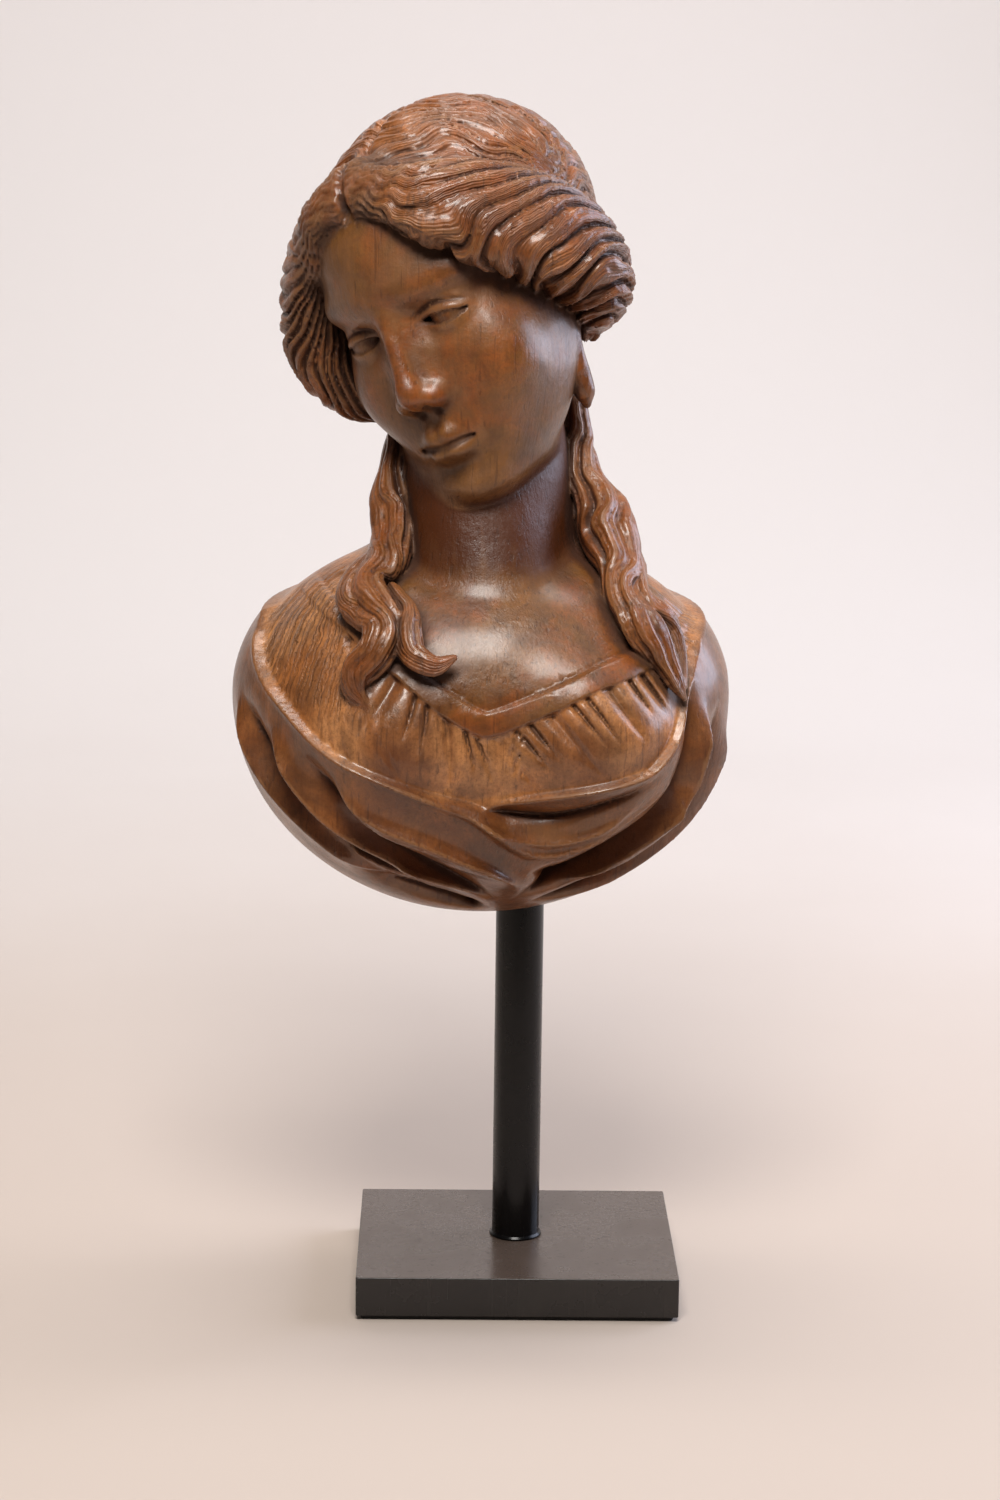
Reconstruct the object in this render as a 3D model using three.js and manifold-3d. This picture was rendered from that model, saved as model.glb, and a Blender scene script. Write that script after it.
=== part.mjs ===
// Ship figurehead: the bust of a young woman, carved in one piece of wood, on a round rod
// that stands in a flat rectangular foot with a thin pad under it.
// Millimetres, +Z up, the bust faces -Y, origin in the middle of the pad's underside.
import * as THREE from 'three';
import { mergeVertices } from 'three/addons/utils/BufferGeometryUtils.js';
import Module from 'manifold-3d';

const wasm = await Module();
wasm.setup();

// driving sizes
const gap = 0.3; // kept between pieces that touch

const padThickness = 3;
const padInset = 3;
const footWidth = 200;
const footDepth = 165;
const footThickness = 25;
const footChamfer = 0.8;
const footTop = padThickness + footThickness;

const rodRadius = 15;
const rodTop = 282;
const rodCollarRadius = 16.6;
const rodCollarHeight = 2.2;
const rodCollarEdge = 0.3; // by how much the collar narrows before its slope
const rodSides = 32;
const socketDepthSpare = 1.5;

const torso = {
  centre: new THREE.Vector3(-26, 0, 380),
  halfWidth: 149,
  front: 115,
  back: 95,
  rise: 103,
  drop: 131,
};
const breasts = [
  { centre: new THREE.Vector3(-80, -72, 370), radius: 49 },
  { centre: new THREE.Vector3(38, -72, 372), radius: 49 },
];
const clothThickness = 5;
const neckline = { bottom: new THREE.Vector2(-24, 384), leftSlope: 0.72, rightSlope: 0.45, drop: 2.5 };

const head = {
  origin: new THREE.Vector3(-37, 0, 635), // between the ears, at the height of the eyes
  pitch: 4, // degrees, chin down
  turn: -34, // towards the right shoulder
  lean: 24, // crown towards the right shoulder
};

// mesh helpers
const at = (x, y, z) => new THREE.Vector3(x, y, z);

function solidOf(geometry) {
  const bare = geometry.clone();
  bare.deleteAttribute('normal');
  bare.deleteAttribute('uv');
  const merged = mergeVertices(bare, 1e-3);
  const vertProperties = new Float32Array(merged.attributes.position.array);
  const triVerts = new Uint32Array(merged.index.array);
  if (signedVolume(vertProperties, triVerts) < 0) {
    triVerts.reverse();
  }
  return new wasm.Manifold(new wasm.Mesh({ numProp: 3, vertProperties, triVerts }));
}

function signedVolume(points, corners) {
  const [a, b, c] = [at(0, 0, 0), at(0, 0, 0), at(0, 0, 0)];
  let volume = 0;
  for (let i = 0; i < corners.length; i += 3) {
    a.fromArray(points, corners[i] * 3);
    b.fromArray(points, corners[i + 1] * 3);
    c.fromArray(points, corners[i + 2] * 3);
    volume += a.dot(b.cross(c)) / 6;
  }
  return volume;
}

function geometryOf(solid) {
  const mesh = solid.getMesh();
  const geometry = new THREE.BufferGeometry();
  geometry.setAttribute('position', new THREE.BufferAttribute(mesh.vertProperties, 3));
  geometry.setIndex(new THREE.BufferAttribute(mesh.triVerts, 1));
  geometry.computeVertexNormals();
  return geometry;
}

// Moves every vertex of a sphere out along its own ray until it lies on the form.
function castOnto(form, centre, directionAt, reach, columns, rows) {
  const geometry = new THREE.SphereGeometry(1, columns, rows);
  const { position, uv } = geometry.attributes;
  for (let i = 0; i < position.count; i++) {
    const direction = directionAt(uv.getX(i) % 1, 1 - uv.getY(i));
    const point = surfaceAlong(form, centre, direction, reach);
    position.setXYZ(i, point.x, point.y, point.z);
  }
  return geometry;
}

function surfaceAlong(form, centre, direction, reach) {
  const stride = 3;
  const point = at(0, 0, 0);
  let outside = reach;
  while (outside > stride && form(point.copy(direction).multiplyScalar(outside - stride).add(centre)) > 0) {
    outside -= stride;
  }
  let inside = outside - stride;
  for (let step = 0; step < 14; step++) {
    const middle = (inside + outside) / 2;
    if (form(point.copy(direction).multiplyScalar(middle).add(centre)) > 0) {
      outside = middle;
    } else {
      inside = middle;
    }
  }
  return point.copy(direction).multiplyScalar(inside).add(centre);
}

// Draws a sphere out along a smooth path. Each stop is [x, y, z, radius].
function sweep(stops, outwardAt, sides, steps, shape = {}) {
  const { flatAt = () => 1, flutes = 0, depth = 0, twist = 0 } = shape;
  const curve = new THREE.CatmullRomCurve3(stops.map(([x, y, z]) => at(x, y, z)), false, 'centripetal');
  const geometry = new THREE.SphereGeometry(1, sides, steps);
  const { position, uv } = geometry.attributes;
  for (let i = 0; i < position.count; i++) {
    const along = 1 - uv.getY(i);
    const turn = 2 * Math.PI * (uv.getX(i) % 1);
    const centre = curve.getPoint(along);
    const tangent = curve.getTangent(along);
    const side = at(0, 0, 0).crossVectors(tangent, outwardAt(centre)).normalize();
    const out = at(0, 0, 0).crossVectors(side, tangent);
    const cap = along === 0 || along === 1 ? 0 : 1;
    const radius = cap * radiusAt(stops, along) * (1 + depth * Math.cos(flutes * turn + twist * along));
    centre.addScaledVector(side, radius * Math.cos(turn));
    centre.addScaledVector(out, radius * flatAt(along) * Math.sin(turn));
    position.setXYZ(i, centre.x, centre.y, centre.z);
  }
  return geometry;
}

function radiusAt(stops, along) {
  const place = along * (stops.length - 1);
  const first = Math.min(Math.floor(place), stops.length - 2);
  return lerp(stops[first][3], stops[first + 1][3], place - first);
}

// form helpers
// A form is a function of a point: below zero inside, above zero outside, in millimetres.
const { clamp, lerp, smoothstep, degToRad, radToDeg } = THREE.MathUtils;

function join(a, b, soft) {
  const near = Math.max(soft - Math.abs(a - b), 0) / soft;
  return Math.min(a, b) - near * near * soft / 4;
}

function carve(a, b, soft) {
  return -join(-a, b, soft);
}

function egg(p, centre, rx, ry, rz) {
  const [x, y, z] = [p.x - centre.x, p.y - centre.y, p.z - centre.z];
  const near = Math.hypot(x / rx, y / ry, z / rz);
  const slope = Math.hypot(x / rx / rx, y / ry / ry, z / rz / rz);
  return slope === 0 ? -Math.min(rx, ry, rz) : near * (near - 1) / slope;
}

function limb(p, a, b, radiusA, radiusB) {
  const span = b.clone().sub(a);
  const t = clamp(p.clone().sub(a).dot(span) / span.lengthSq(), 0, 1);
  return p.distanceTo(a.clone().addScaledVector(span, t)) - radiusA - (radiusB - radiusA) * t;
}

function lookUp(table, x) {
  let i = 1;
  while (i < table.length - 1 && x > table[i][0]) {
    i += 1;
  }
  const [x0, y0] = table[i - 1];
  const [x1, y1] = table[i];
  return y0 + (y1 - y0) * clamp((x - x0) / (x1 - x0), 0, 1);
}

// The same, without corners at the rows of the table.
function lookUpSmooth(table, x, column) {
  let i = 1;
  while (i < table.length - 1 && x > table[i][0]) {
    i += 1;
  }
  const row = (k) => table[clamp(k, 0, table.length - 1)];
  const slope = (k) => (row(k + 1)[column] - row(k - 1)[column]) / (row(k + 1)[0] - row(k - 1)[0]);
  const span = table[i][0] - table[i - 1][0];
  const t = clamp((x - table[i - 1][0]) / span, 0, 1);
  const [t2, t3] = [t * t, t * t * t];
  return (2 * t3 - 3 * t2 + 1) * table[i - 1][column] + (3 * t2 - 2 * t3) * table[i][column]
    + (t3 - 2 * t2 + t) * span * slope(i - 1) + (t3 - t2) * span * slope(i);
}

// head and face
// Head frame: +X to the figure's left, -Y forward, +Z up, origin level with the eyes.
// The face is a plain classical one: eyes half-way down, brow, nose and chin in equal thirds.

// Oval of the face from under the chin up: [height, half width, front, widest place].
const faceOval = [
  [-117, 14, 72, 50], [-112, 24, 84, 46], [-102, 34, 90, 40], [-87, 46, 88, 30], [-70, 55, 90, 20],
  [-50, 62, 89, 10], [-25, 66, 88, 5], [0, 67, 90, 5], [22, 68, 94, 5], [45, 66, 92, 5],
  [68, 57, 81, 5], [85, 40, 58, 5], [96, 12, 24, 5],
];
const ovalPower = 2.15; // a little fuller than an ellipse
const ovalBack = 34;

function ovalForm(p) {
  const height = clamp(p.z, faceOval[0][0], faceOval.at(-1)[0]);
  const [width, front, widest] = [1, 2, 3].map((column) => lookUpSmooth(faceOval, height, column));
  const deep = p.y < -widest ? front - widest : ovalBack;
  const [across, along] = [Math.abs(p.x) / width, Math.abs(p.y + widest) / deep];
  const near = (across ** ovalPower + along ** ovalPower) ** (1 / ovalPower);
  return (near - 1) * Math.min(width, front - widest) + 3 * Math.abs(p.z - height);
}

function headForm(point) {
  const p = at(Math.abs(point.x), point.y, point.z); // both halves are the same
  let form = join(egg(p, at(0, 8, 24), 72, 93, 76), ovalForm(p), 12);
  form = join(form, egg(p, at(0, -70, -68), 34, 18, 26), 18); // round the mouth
  form = join(form, egg(p, at(0, -73, -101), 17, 17, 13), 16); // chin
  form = join(form, egg(p, at(36, -60, -36), 24, 21, 25), 26); // cheek
  form = join(form, limb(p, at(10, -86, 21), at(44, -74, 20), 5, 4), 14); // brow
  form = carve(form, egg(p, at(30, -98, -3), 20, 15, 11.5), 10); // eye socket
  form = join(form, p.distanceTo(at(31, -71, -3)) - 15.2, 4); // eye
  form = join(form, limb(p, at(0, -87.5, 26), at(0, -103, -32), 4.4, 5.8), 8); // nose
  form = join(form, limb(p, at(4, -82, 4), at(7.5, -88, -37), 6, 8), 12);
  form = join(form, p.distanceTo(at(0, -102.5, -38)) - 7.4, 8);
  form = join(form, egg(p, at(10.5, -93.5, -42.5), 7, 10, 7.4), 5);
  form = join(form, limb(p, at(20, -82.5, -72), at(0, -92.2, -68.5), 2.2, 5.4), 5); // lips
  form = join(form, limb(p, at(17, -83.5, -75.5), at(0, -90.5, -79.5), 2.6, 7.2), 5);
  return carve(form, limb(p, at(21, -87.5, -73.6), at(0, -98.4, -74.4), 1, 1.4), 3);
}

// Hair over the skull; it ends in an edge that stands proud of the brow and temples.
const hairline = { brow: 72, browCurve: 0.012, temple: -34, templeSlope: 0.8, templeTop: 20, drop: 16 };
const parting = { halfWidth: 5, depth: 3, from: 20, to: 60 };

function capForm(p) {
  const brow = hairline.brow - hairline.browCurve * p.x * p.x;
  const aboveBrow = smoothstep(p.z + p.y * 0.35, brow - 42, brow - 32);
  const temple = hairline.temple + hairline.templeSlope * Math.max(hairline.templeTop - p.z, 0);
  const behindTemple = smoothstep(p.y, temple, temple + 12);
  const bare = 1 - Math.max(aboveBrow, behindTemple);
  const groove = Math.exp(-((p.x / parting.halfWidth) ** 2)) * smoothstep(p.z, parting.from, parting.to);
  return egg(p, at(0, 9, 25), 80, 98, 82) + hairline.drop * bare + parting.depth * groove;
}

// Directions with the poles over the ears, so that every column of the mesh is a strand
// that runs from the parting to an ear, slightly waved.
const capStrands = { count: 20, depth: 1.6, wave: 0.07, waves: 6 };
const headReach = 150; // farther out than any part of the head

function waveAt(along) {
  return capStrands.wave * Math.sin(capStrands.waves * along);
}

function earToEar(u, v) {
  const along = Math.PI * v;
  const around = 2 * Math.PI * u + waveAt(along);
  return at(Math.cos(along), -Math.sin(along) * Math.cos(around), Math.sin(along) * Math.sin(around));
}

function strandForm(p) {
  const along = Math.acos(clamp(p.x / p.length(), -1, 1));
  const around = Math.atan2(p.z, -p.y) - waveAt(along);
  return capForm(p) - capStrands.depth * Math.cos(capStrands.count * around);
}

// Directions with the pole at the crown, crowded towards the face.
const faceCrowding = { across: 0.6, down: 0.16 };

function crownToChin(u, v) {
  const plain = 2 * Math.PI * u;
  const around = plain - faceCrowding.across * Math.sin(plain);
  const down = Math.PI * v + faceCrowding.down * Math.sin(2 * Math.PI * v);
  return at(Math.sin(down) * Math.sin(around), -Math.sin(down) * Math.cos(around), Math.cos(down));
}

// Stops along the rolled hair over each ear, from the parting down: [x, y, z, radius].
const leftRoll = [
  [3, -68, 85, 6], [25, -76, 77, 13], [48, -73, 61, 22], [67, -57, 42, 29], [78, -33, 21, 31],
  [79, -8, -3, 29], [74, 10, -28, 24], [62, 15, -47, 17], [54, 14, -58, 6],
];
const rightRoll = [
  [-4, -68, 85, 6], [-27, -73, 77, 10], [-49, -66, 61, 15], [-67, -58, 44, 20], [-79, -52, 24, 22],
  [-84, -50, 2, 22], [-80, -48, -22, 20], [-74, -46, -40, 15], [-67, -44, -53, 6],
];
const knot = [[0, 66, 22, 8], [0, 80, 4, 26], [0, 82, -22, 31], [0, 70, -48, 26], [0, 52, -66, 10]];
const earDrop = [
  [57, -6, -52, 4], [53, -7, -64, 5], [50, -8, -76, 6.5], [47, -8, -88, 6.5], [45, -8, -95, 3],
];

function carveHead() {
  const centre = at(0, -8, 8);
  const outward = (p) => p.clone().sub(at(0, 5, 15));
  const skull = castOnto(headForm, centre, crownToChin, headReach, 48, 36);
  const cap = castOnto(strandForm, at(0, 0, 0), earToEar, headReach, 2 * capStrands.count, 12);
  const swelling = (along) => lerp(0.55, 1, smoothstep(along, 0.35, 0.8));
  const rollShape = { flutes: 6, depth: 0.07, twist: 5, flatAt: swelling };
  const parts = [
    skull,
    cap,
    sweep(leftRoll, outward, 12, 14, rollShape),
    sweep(rightRoll, outward, 12, 14, { ...rollShape, twist: -5 }),
    sweep(knot, () => at(1, 0, 0), 12, 7, { flatAt: () => 1.35 }),
    sweep(earDrop, () => at(0, -1, 0), 8, 6),
  ];
  const pose = new THREE.Matrix4().makeTranslation(head.origin);
  pose.multiply(new THREE.Matrix4().makeRotationY(-degToRad(head.lean)));
  pose.multiply(new THREE.Matrix4().makeRotationZ(degToRad(head.turn)));
  pose.multiply(new THREE.Matrix4().makeRotationX(degToRad(head.pitch)));
  return parts.map((part) => solidOf(part.applyMatrix4(pose))).reduce((whole, part) => whole.add(part));
}

// torso and drapery
// Places on the torso are [azimuth, height]: degrees from the front towards the figure's
// left, and millimetres above the ground.

// Upper edge of the outer cloth, which leaves the neck, shoulders and breasts free.
const hem = [
  [-180, 456], [-125, 450], [-85, 434], [-63, 394], [-36, 361], [-17, 342], [0, 331],
  [22, 342], [43, 354], [51, 370], [59, 398], [72, 423], [91, 436], [125, 450], [180, 456],
];

// Folds of the outer cloth: a ridge where rise is above zero, a furrow where it is below.
const folds = [
  { path: [[-80, 385], [-72, 350], [-62, 318], [-48, 285], [-30, 268]], width: 12, rise: 5 },
  { path: [[-68, 372], [-57, 340], [-49, 310], [-38, 289], [-24, 276]], width: 11, rise: -8 },
  { path: [[-58, 366], [-47, 335], [-38, 308], [-26, 290]], width: 11, rise: 5 },
  { path: [[-45, 356], [-35, 331], [-27, 304], [-12, 284], [5, 271]], width: 12, rise: -6 },
  { path: [[-36, 345], [-28, 322], [-14, 307], [2, 291], [17, 273]], width: 11, rise: 5 },
  { path: [[-45, 281], [-30, 273], [-8, 264], [6, 261]], width: 10, rise: -5 },
  { path: [[6, 316], [21, 311], [36, 317], [41, 326]], width: 11, rise: 6 },
  { path: [[3, 329], [14, 326], [26, 325], [36, 330], [44, 340]], width: 10, rise: -6 },
  { path: [[18, 290], [34, 292], [47, 303], [56, 325]], width: 12, rise: -7 },
  { path: [[63, 402], [61, 380], [59, 352], [57, 325], [48, 299], [34, 281]], width: 11, rise: -5 },
  { path: [[71, 392], [68, 355], [64, 320], [54, 291], [36, 271]], width: 9, rise: 5 },
  { path: [[79, 380], [75, 345], [68, 306], [53, 278], [34, 262]], width: 11, rise: -5 },
];
const backFolds = { count: 5, first: 112, apart: 32, width: 15, rise: -6 };
for (let k = 0; k < backFolds.count; k++) {
  const start = backFolds.first + backFolds.apart * k;
  const path = [[start, 425], [start + 9, 375], [start + 14, 320], [start + 12, 275]];
  folds.push({ path, width: backFolds.width, rise: backFolds.rise });
}

function placeOn(p) {
  const [x, y] = [p.x - torso.centre.x, p.y - torso.centre.y];
  return { azimuth: radToDeg(Math.atan2(x, -y)), radius: Math.hypot(x, y), height: p.z };
}

function distanceToPath(place, path) {
  const mmPerDegree = degToRad(place.radius);
  let nearest = Infinity;
  for (let i = 1; i < path.length; i++) {
    const ax = wrapped(path[i - 1][0] - place.azimuth) * mmPerDegree;
    const bx = ax + wrapped(path[i][0] - path[i - 1][0]) * mmPerDegree;
    const [ay, by] = [path[i - 1][1] - place.height, path[i][1] - place.height];
    const [dx, dy] = [bx - ax, by - ay];
    const t = clamp(-(ax * dx + ay * dy) / (dx * dx + dy * dy), 0, 1);
    nearest = Math.min(nearest, Math.hypot(ax + t * dx, ay + t * dy));
  }
  return nearest;
}

function wrapped(degrees) {
  return degrees - 360 * Math.round(degrees / 360);
}

const neckRoot = at(-22, -2, 430);
const neckMiddle = at(-22, 0, 478);

function bodyForm(p) {
  const forward = p.y < torso.centre.y ? torso.front : torso.back;
  const upright = p.z > torso.centre.z ? torso.rise : torso.drop;
  let form = egg(p, torso.centre, torso.halfWidth, forward, upright);
  for (const { centre, radius } of breasts) {
    form = join(form, p.distanceTo(centre) - radius, 26);
  }
  return join(form, limb(p, neckRoot, neckMiddle, 60, 50), 12 + 24 * smoothstep(p.y, -40, 20));
}

const torsoReach = 210; // farther out than any part of the torso

function torsoForm(p) {
  const place = placeOn(p);
  const onCloth = smoothstep(lookUp(hem, place.azimuth) - place.height, -2.5, 2.5);
  let relief = onCloth * clothThickness;
  for (const { path, width, rise } of folds) {
    relief += onCloth * rise * Math.exp(-((distanceToPath(place, path) / width) ** 2));
  }
  const { bottom, leftSlope, rightSlope, drop } = neckline;
  const across = p.x - bottom.x;
  const edge = bottom.y + Math.max(-leftSlope * across, rightSlope * across);
  if (p.y < 0) {
    relief -= drop * smoothstep(p.z, edge, edge + 6);
  }
  return bodyForm(p) - relief;
}

// Directions with the pole at the top; two rows of the mesh lie close above and below the hem.
const hemRow = 0.3; // share of the rows that lie above the hem
const hemStep = 0.016; // half the turn between those two rows, in radians
const crowding = 22; // degrees by which the columns are drawn to the front
function alongHem(rows) {
  const belowStart = hemRow + 1 / rows;
  return (u, v) => {
    const plain = 360 * u - 180;
    const azimuth = plain - crowding * Math.sin(degToRad(plain));
    const [sine, cosine] = [Math.sin(degToRad(azimuth)), Math.cos(degToRad(azimuth))];
    const reachOut = cosine > 0 ? torso.front : torso.back;
    const width = 1 / Math.hypot(cosine / reachOut, sine / torso.halfWidth);
    const lift = lookUp(hem, azimuth) - torso.centre.z;
    const upright = lift > 0 ? torso.rise : torso.drop;
    const hemTilt = Math.atan2(lift, width * Math.sqrt(1 - (lift / upright) ** 2));
    const above = lerp(Math.PI / 2, hemTilt + hemStep, v / hemRow);
    const below = lerp(hemTilt - hemStep, -Math.PI / 2, (v - belowStart) / (1 - belowStart));
    const tilt = v < hemRow + 0.5 / rows ? above : below;
    return at(Math.cos(tilt) * sine, -Math.cos(tilt) * cosine, Math.sin(tilt));
  };
}

// neck and loose locks
const neckStops = [
  [-23, -2, 440, 46], [-22, -1, 478, 52], [-22, 0, 500, 51], [-26, 2, 530, 51], [-32, 6, 566, 50],
  [-36, 8, 600, 46], [-40, 8, 640, 34],
];
const throatStops = [
  [-24, -26, 396, 38], [-24, -28, 446, 50], [-26, -23, 470, 48], [-28, -19, 490, 46], [-30, -14, 512, 44],
  [-31, -8, 548, 32],
];

// Stops of the locks that fall from behind the ears over the collar: [x, y, z, radius].
const locks = [
  { // right shoulder, the long lock
    stops: [
      [-76, 4, 548, 9], [-79, -8, 522, 12], [-82, -20, 498, 15], [-81, -36, 481, 14], [-86, -52, 468, 14],
      [-95, -66, 458, 12], [-92, -84, 449, 12], [-86, -98, 437, 12], [-89, -106, 425, 11],
      [-99, -107, 413, 10], [-101, -110, 402, 7], [-94, -113, 392, 2],
    ],
    steps: 22,
  },
  { // its outer strand
    stops: [
      [-86, -42, 474, 6], [-98, -56, 466, 7], [-106, -66, 456, 7], [-106, -78, 447, 7],
      [-97, -91, 440, 6],
    ],
    steps: 8,
  },
  { // its inner strand, which curls towards the breastbone
    stops: [
      [-80, -78, 456, 5], [-72, -92, 446, 7], [-71, -103, 435, 8], [-67, -112, 424, 7],
      [-55, -116, 418, 6], [-43, -116, 423, 2],
    ],
    steps: 10,
  },
  { // left shoulder, the long lock
    stops: [
      [30, 14, 556, 8], [31, 8, 534, 12], [35, -2, 513, 14], [45, -12, 496, 19], [52, -28, 478, 19],
      [57, -46, 464, 14], [57, -62, 452, 12], [65, -78, 440, 12], [74, -80, 429, 12],
      [82, -81, 417, 8.5], [88, -83, 405, 6], [94, -83, 394, 2],
    ],
    steps: 22,
  },
  { // its outer strand
    stops: [
      [67, -40, 468, 6], [68, -56, 456, 6], [74, -65, 447, 6.5], [85, -67, 438, 5.5],
      [92, -71, 420, 4.5], [94, -80, 401, 2.5],
    ],
    steps: 10,
  },
];

const collar = { height: 500, slope: 0.35 }; // under this height the locks lie on the shoulders

function outwardFromNeck(p) {
  return at(p.x - torso.centre.x, p.y, collar.slope * Math.max(0, collar.height - p.z));
}

function carveBust() {
  const [columns, rows] = [58, 28];
  const middle = at(-26, -4, 366);
  const chest = castOnto(torsoForm, middle, alongHem(rows), torsoReach, columns, rows);
  const forward = () => at(0, -1, 0);
  const neck = [neckStops, throatStops].map((stops) => sweep(stops, forward, 20, 8));
  const hair = locks.map(({ stops, steps }) => (
    sweep(stops, outwardFromNeck, 8, steps, { flatAt: () => 0.85 })
  ));
  return [chest, ...neck, ...hair].map(solidOf).reduce((whole, part) => whole.add(part)).add(carveHead());
}

// stand
function turned(profile, sides) {
  const points = profile.map(([radius, height]) => new THREE.Vector2(radius, height));
  return new THREE.LatheGeometry(points, sides).rotateX(Math.PI / 2);
}

function rodGeometry() {
  const foot = footTop + gap;
  return turned([
    [0, foot], [rodCollarRadius, foot], [rodCollarRadius - rodCollarEdge, foot + rodCollarHeight / 2],
    [rodRadius, foot + rodCollarHeight], [rodRadius, rodTop], [0, rodTop],
  ], rodSides);
}

function socketGeometry() {
  const radius = rodRadius + gap;
  const bottom = torso.centre.z - 2 * torso.drop; // well under the bust, so that the socket is open
  const top = rodTop + socketDepthSpare;
  return turned([[0, bottom], [radius, bottom], [radius, top], [0, top]], rodSides);
}

function slabGeometry(width, depth, bottom, top, chamfer) {
  const outline = new THREE.Shape();
  const [x, y] = [width / 2 - chamfer, depth / 2 - chamfer];
  outline.moveTo(-x, -y);
  outline.lineTo(x, -y);
  outline.lineTo(x, y);
  outline.lineTo(-x, y);
  outline.closePath();
  const settings = { depth: top - bottom - 2 * chamfer, bevelEnabled: chamfer > 0, bevelSegments: 1 };
  settings.bevelThickness = chamfer;
  settings.bevelSize = chamfer;
  return new THREE.ExtrudeGeometry(outline, settings).translate(0, 0, bottom + chamfer);
}

// the figurehead
const varnishedWood = new THREE.MeshStandardMaterial({ color: 0x7a4526, roughness: 0.35, metalness: 0 });
const blackPaint = new THREE.MeshStandardMaterial({ color: 0x17151a, roughness: 0.4, metalness: 0 });
const darkFelt = new THREE.MeshStandardMaterial({ color: 0x141214, roughness: 0.95, metalness: 0 });

const group = new THREE.Group();

function add(name, geometry, material) {
  const mesh = new THREE.Mesh(geometry, material);
  mesh.name = name;
  group.add(mesh);
}

const bust = carveBust().subtract(solidOf(socketGeometry()));
add('figurehead', geometryOf(bust), varnishedWood);
add('stand_rod', geometryOf(solidOf(rodGeometry())), blackPaint);
const foot = slabGeometry(footWidth, footDepth, padThickness, footTop, footChamfer);
add('stand_base', geometryOf(solidOf(foot)), blackPaint);
const pad = slabGeometry(footWidth - 2 * padInset, footDepth - 2 * padInset, 0, padThickness - gap, 0);
add('stand_pad', geometryOf(solidOf(pad)), darkFelt);

export default group;
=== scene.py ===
# Ship figurehead: the carved and varnished bust of a young woman on a black stand
import math

import bmesh
import bpy
import numpy as np
from mathutils import Euler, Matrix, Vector


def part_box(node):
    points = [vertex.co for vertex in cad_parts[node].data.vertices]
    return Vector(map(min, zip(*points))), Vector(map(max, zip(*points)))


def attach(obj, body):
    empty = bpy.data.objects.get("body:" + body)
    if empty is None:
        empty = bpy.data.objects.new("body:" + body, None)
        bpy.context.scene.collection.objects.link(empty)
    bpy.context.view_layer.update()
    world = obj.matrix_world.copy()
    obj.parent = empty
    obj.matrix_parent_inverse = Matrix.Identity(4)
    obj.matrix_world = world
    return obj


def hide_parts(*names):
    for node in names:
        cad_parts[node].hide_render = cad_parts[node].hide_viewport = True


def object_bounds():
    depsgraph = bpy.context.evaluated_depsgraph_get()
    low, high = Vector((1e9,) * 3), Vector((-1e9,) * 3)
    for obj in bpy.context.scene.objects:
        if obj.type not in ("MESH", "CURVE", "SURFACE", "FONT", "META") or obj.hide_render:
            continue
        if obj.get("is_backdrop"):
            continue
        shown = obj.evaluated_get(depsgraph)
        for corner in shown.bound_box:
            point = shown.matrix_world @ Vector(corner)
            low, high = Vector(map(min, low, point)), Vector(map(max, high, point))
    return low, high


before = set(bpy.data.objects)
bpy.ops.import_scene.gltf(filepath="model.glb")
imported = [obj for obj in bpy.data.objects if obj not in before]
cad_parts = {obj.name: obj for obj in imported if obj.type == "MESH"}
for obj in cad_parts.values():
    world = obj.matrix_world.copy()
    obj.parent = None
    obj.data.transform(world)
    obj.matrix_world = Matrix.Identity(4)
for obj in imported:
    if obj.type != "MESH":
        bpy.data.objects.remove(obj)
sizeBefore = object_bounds()
print("stage: frame loaded")

# the carving's form
# A form takes points in millimetres and gives below zero inside the wood, above zero outside.

carving = {
    "grid": 1.3,            # mm between the places where the form is looked up
    "triangles": 194000,    # after thinning out
    "clothThickness": 5,    # mm that the outer cloth stands above the shift
    "strandDepth": 2.0,     # mm, cuts between the strands of hair
    "fineStrandDepth": 0.8,
    "crownFine": 131,       # fine strands in one turn of the crown
    "rollFine": 5.6,        # fine strands in each main strand of a roll
    "lockFine": 2.5,        # and of a lock
    "pleatDepth": 1.5,
    "headOrigin": (-37, 0, 635),
    "headPitch": 4,         # degrees, chin down
    "headTurn": -34,        # towards the right shoulder
    "headLean": 24,
}
torso = {                   # mm
    "centre": (-26, 0, 380), "halfWidth": 149.0, "front": 115.0, "back": 95.0, "rise": 103.0, "drop": 131.0,
    "breasts": ((-80, -72, 370), (38, -72, 372)), "breastRadius": 49,
    "socketRadius": 15.3, "socketTop": 283.5,
}
fullTurn = 6.2832           # radians

def vec(*values):
    return np.array(values, float)

def join(a, b, soft):
    near = np.maximum(soft - np.abs(a - b), 0) / soft
    return np.minimum(a, b) - near * near * soft / 4

def carve(a, b, soft):
    return -join(-a, b, soft)

def ramp(x, low, high):
    t = np.clip((x - low) / (high - low), 0, 1)
    return t * t * (3 - 2 * t)

def bell(x, width):
    return np.exp(-(x / width) ** 2)

def lengthOf(vectors):
    return np.sqrt((vectors ** 2).sum(-1))

def unit(vectors):
    return vectors / (lengthOf(vectors)[..., None] + 1e-9)

def egg(p, centre, radii):
    q, r = p - vec(*centre), np.asarray(radii, float)
    near = lengthOf(q / r)
    return near * (near - 1) / (lengthOf(q / r / r) + 1e-9)

def ball(p, centre, radius):
    return lengthOf(p - vec(*centre)) - radius

def limb(p, a, b, radiusA, radiusB):
    a, b = vec(*a), vec(*b)
    t = np.clip((p - a) @ (b - a) / ((b - a) @ (b - a)), 0, 1)
    return lengthOf(p - a - t[:, None] * (b - a)) - radiusA - (radiusB - radiusA) * t

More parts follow.
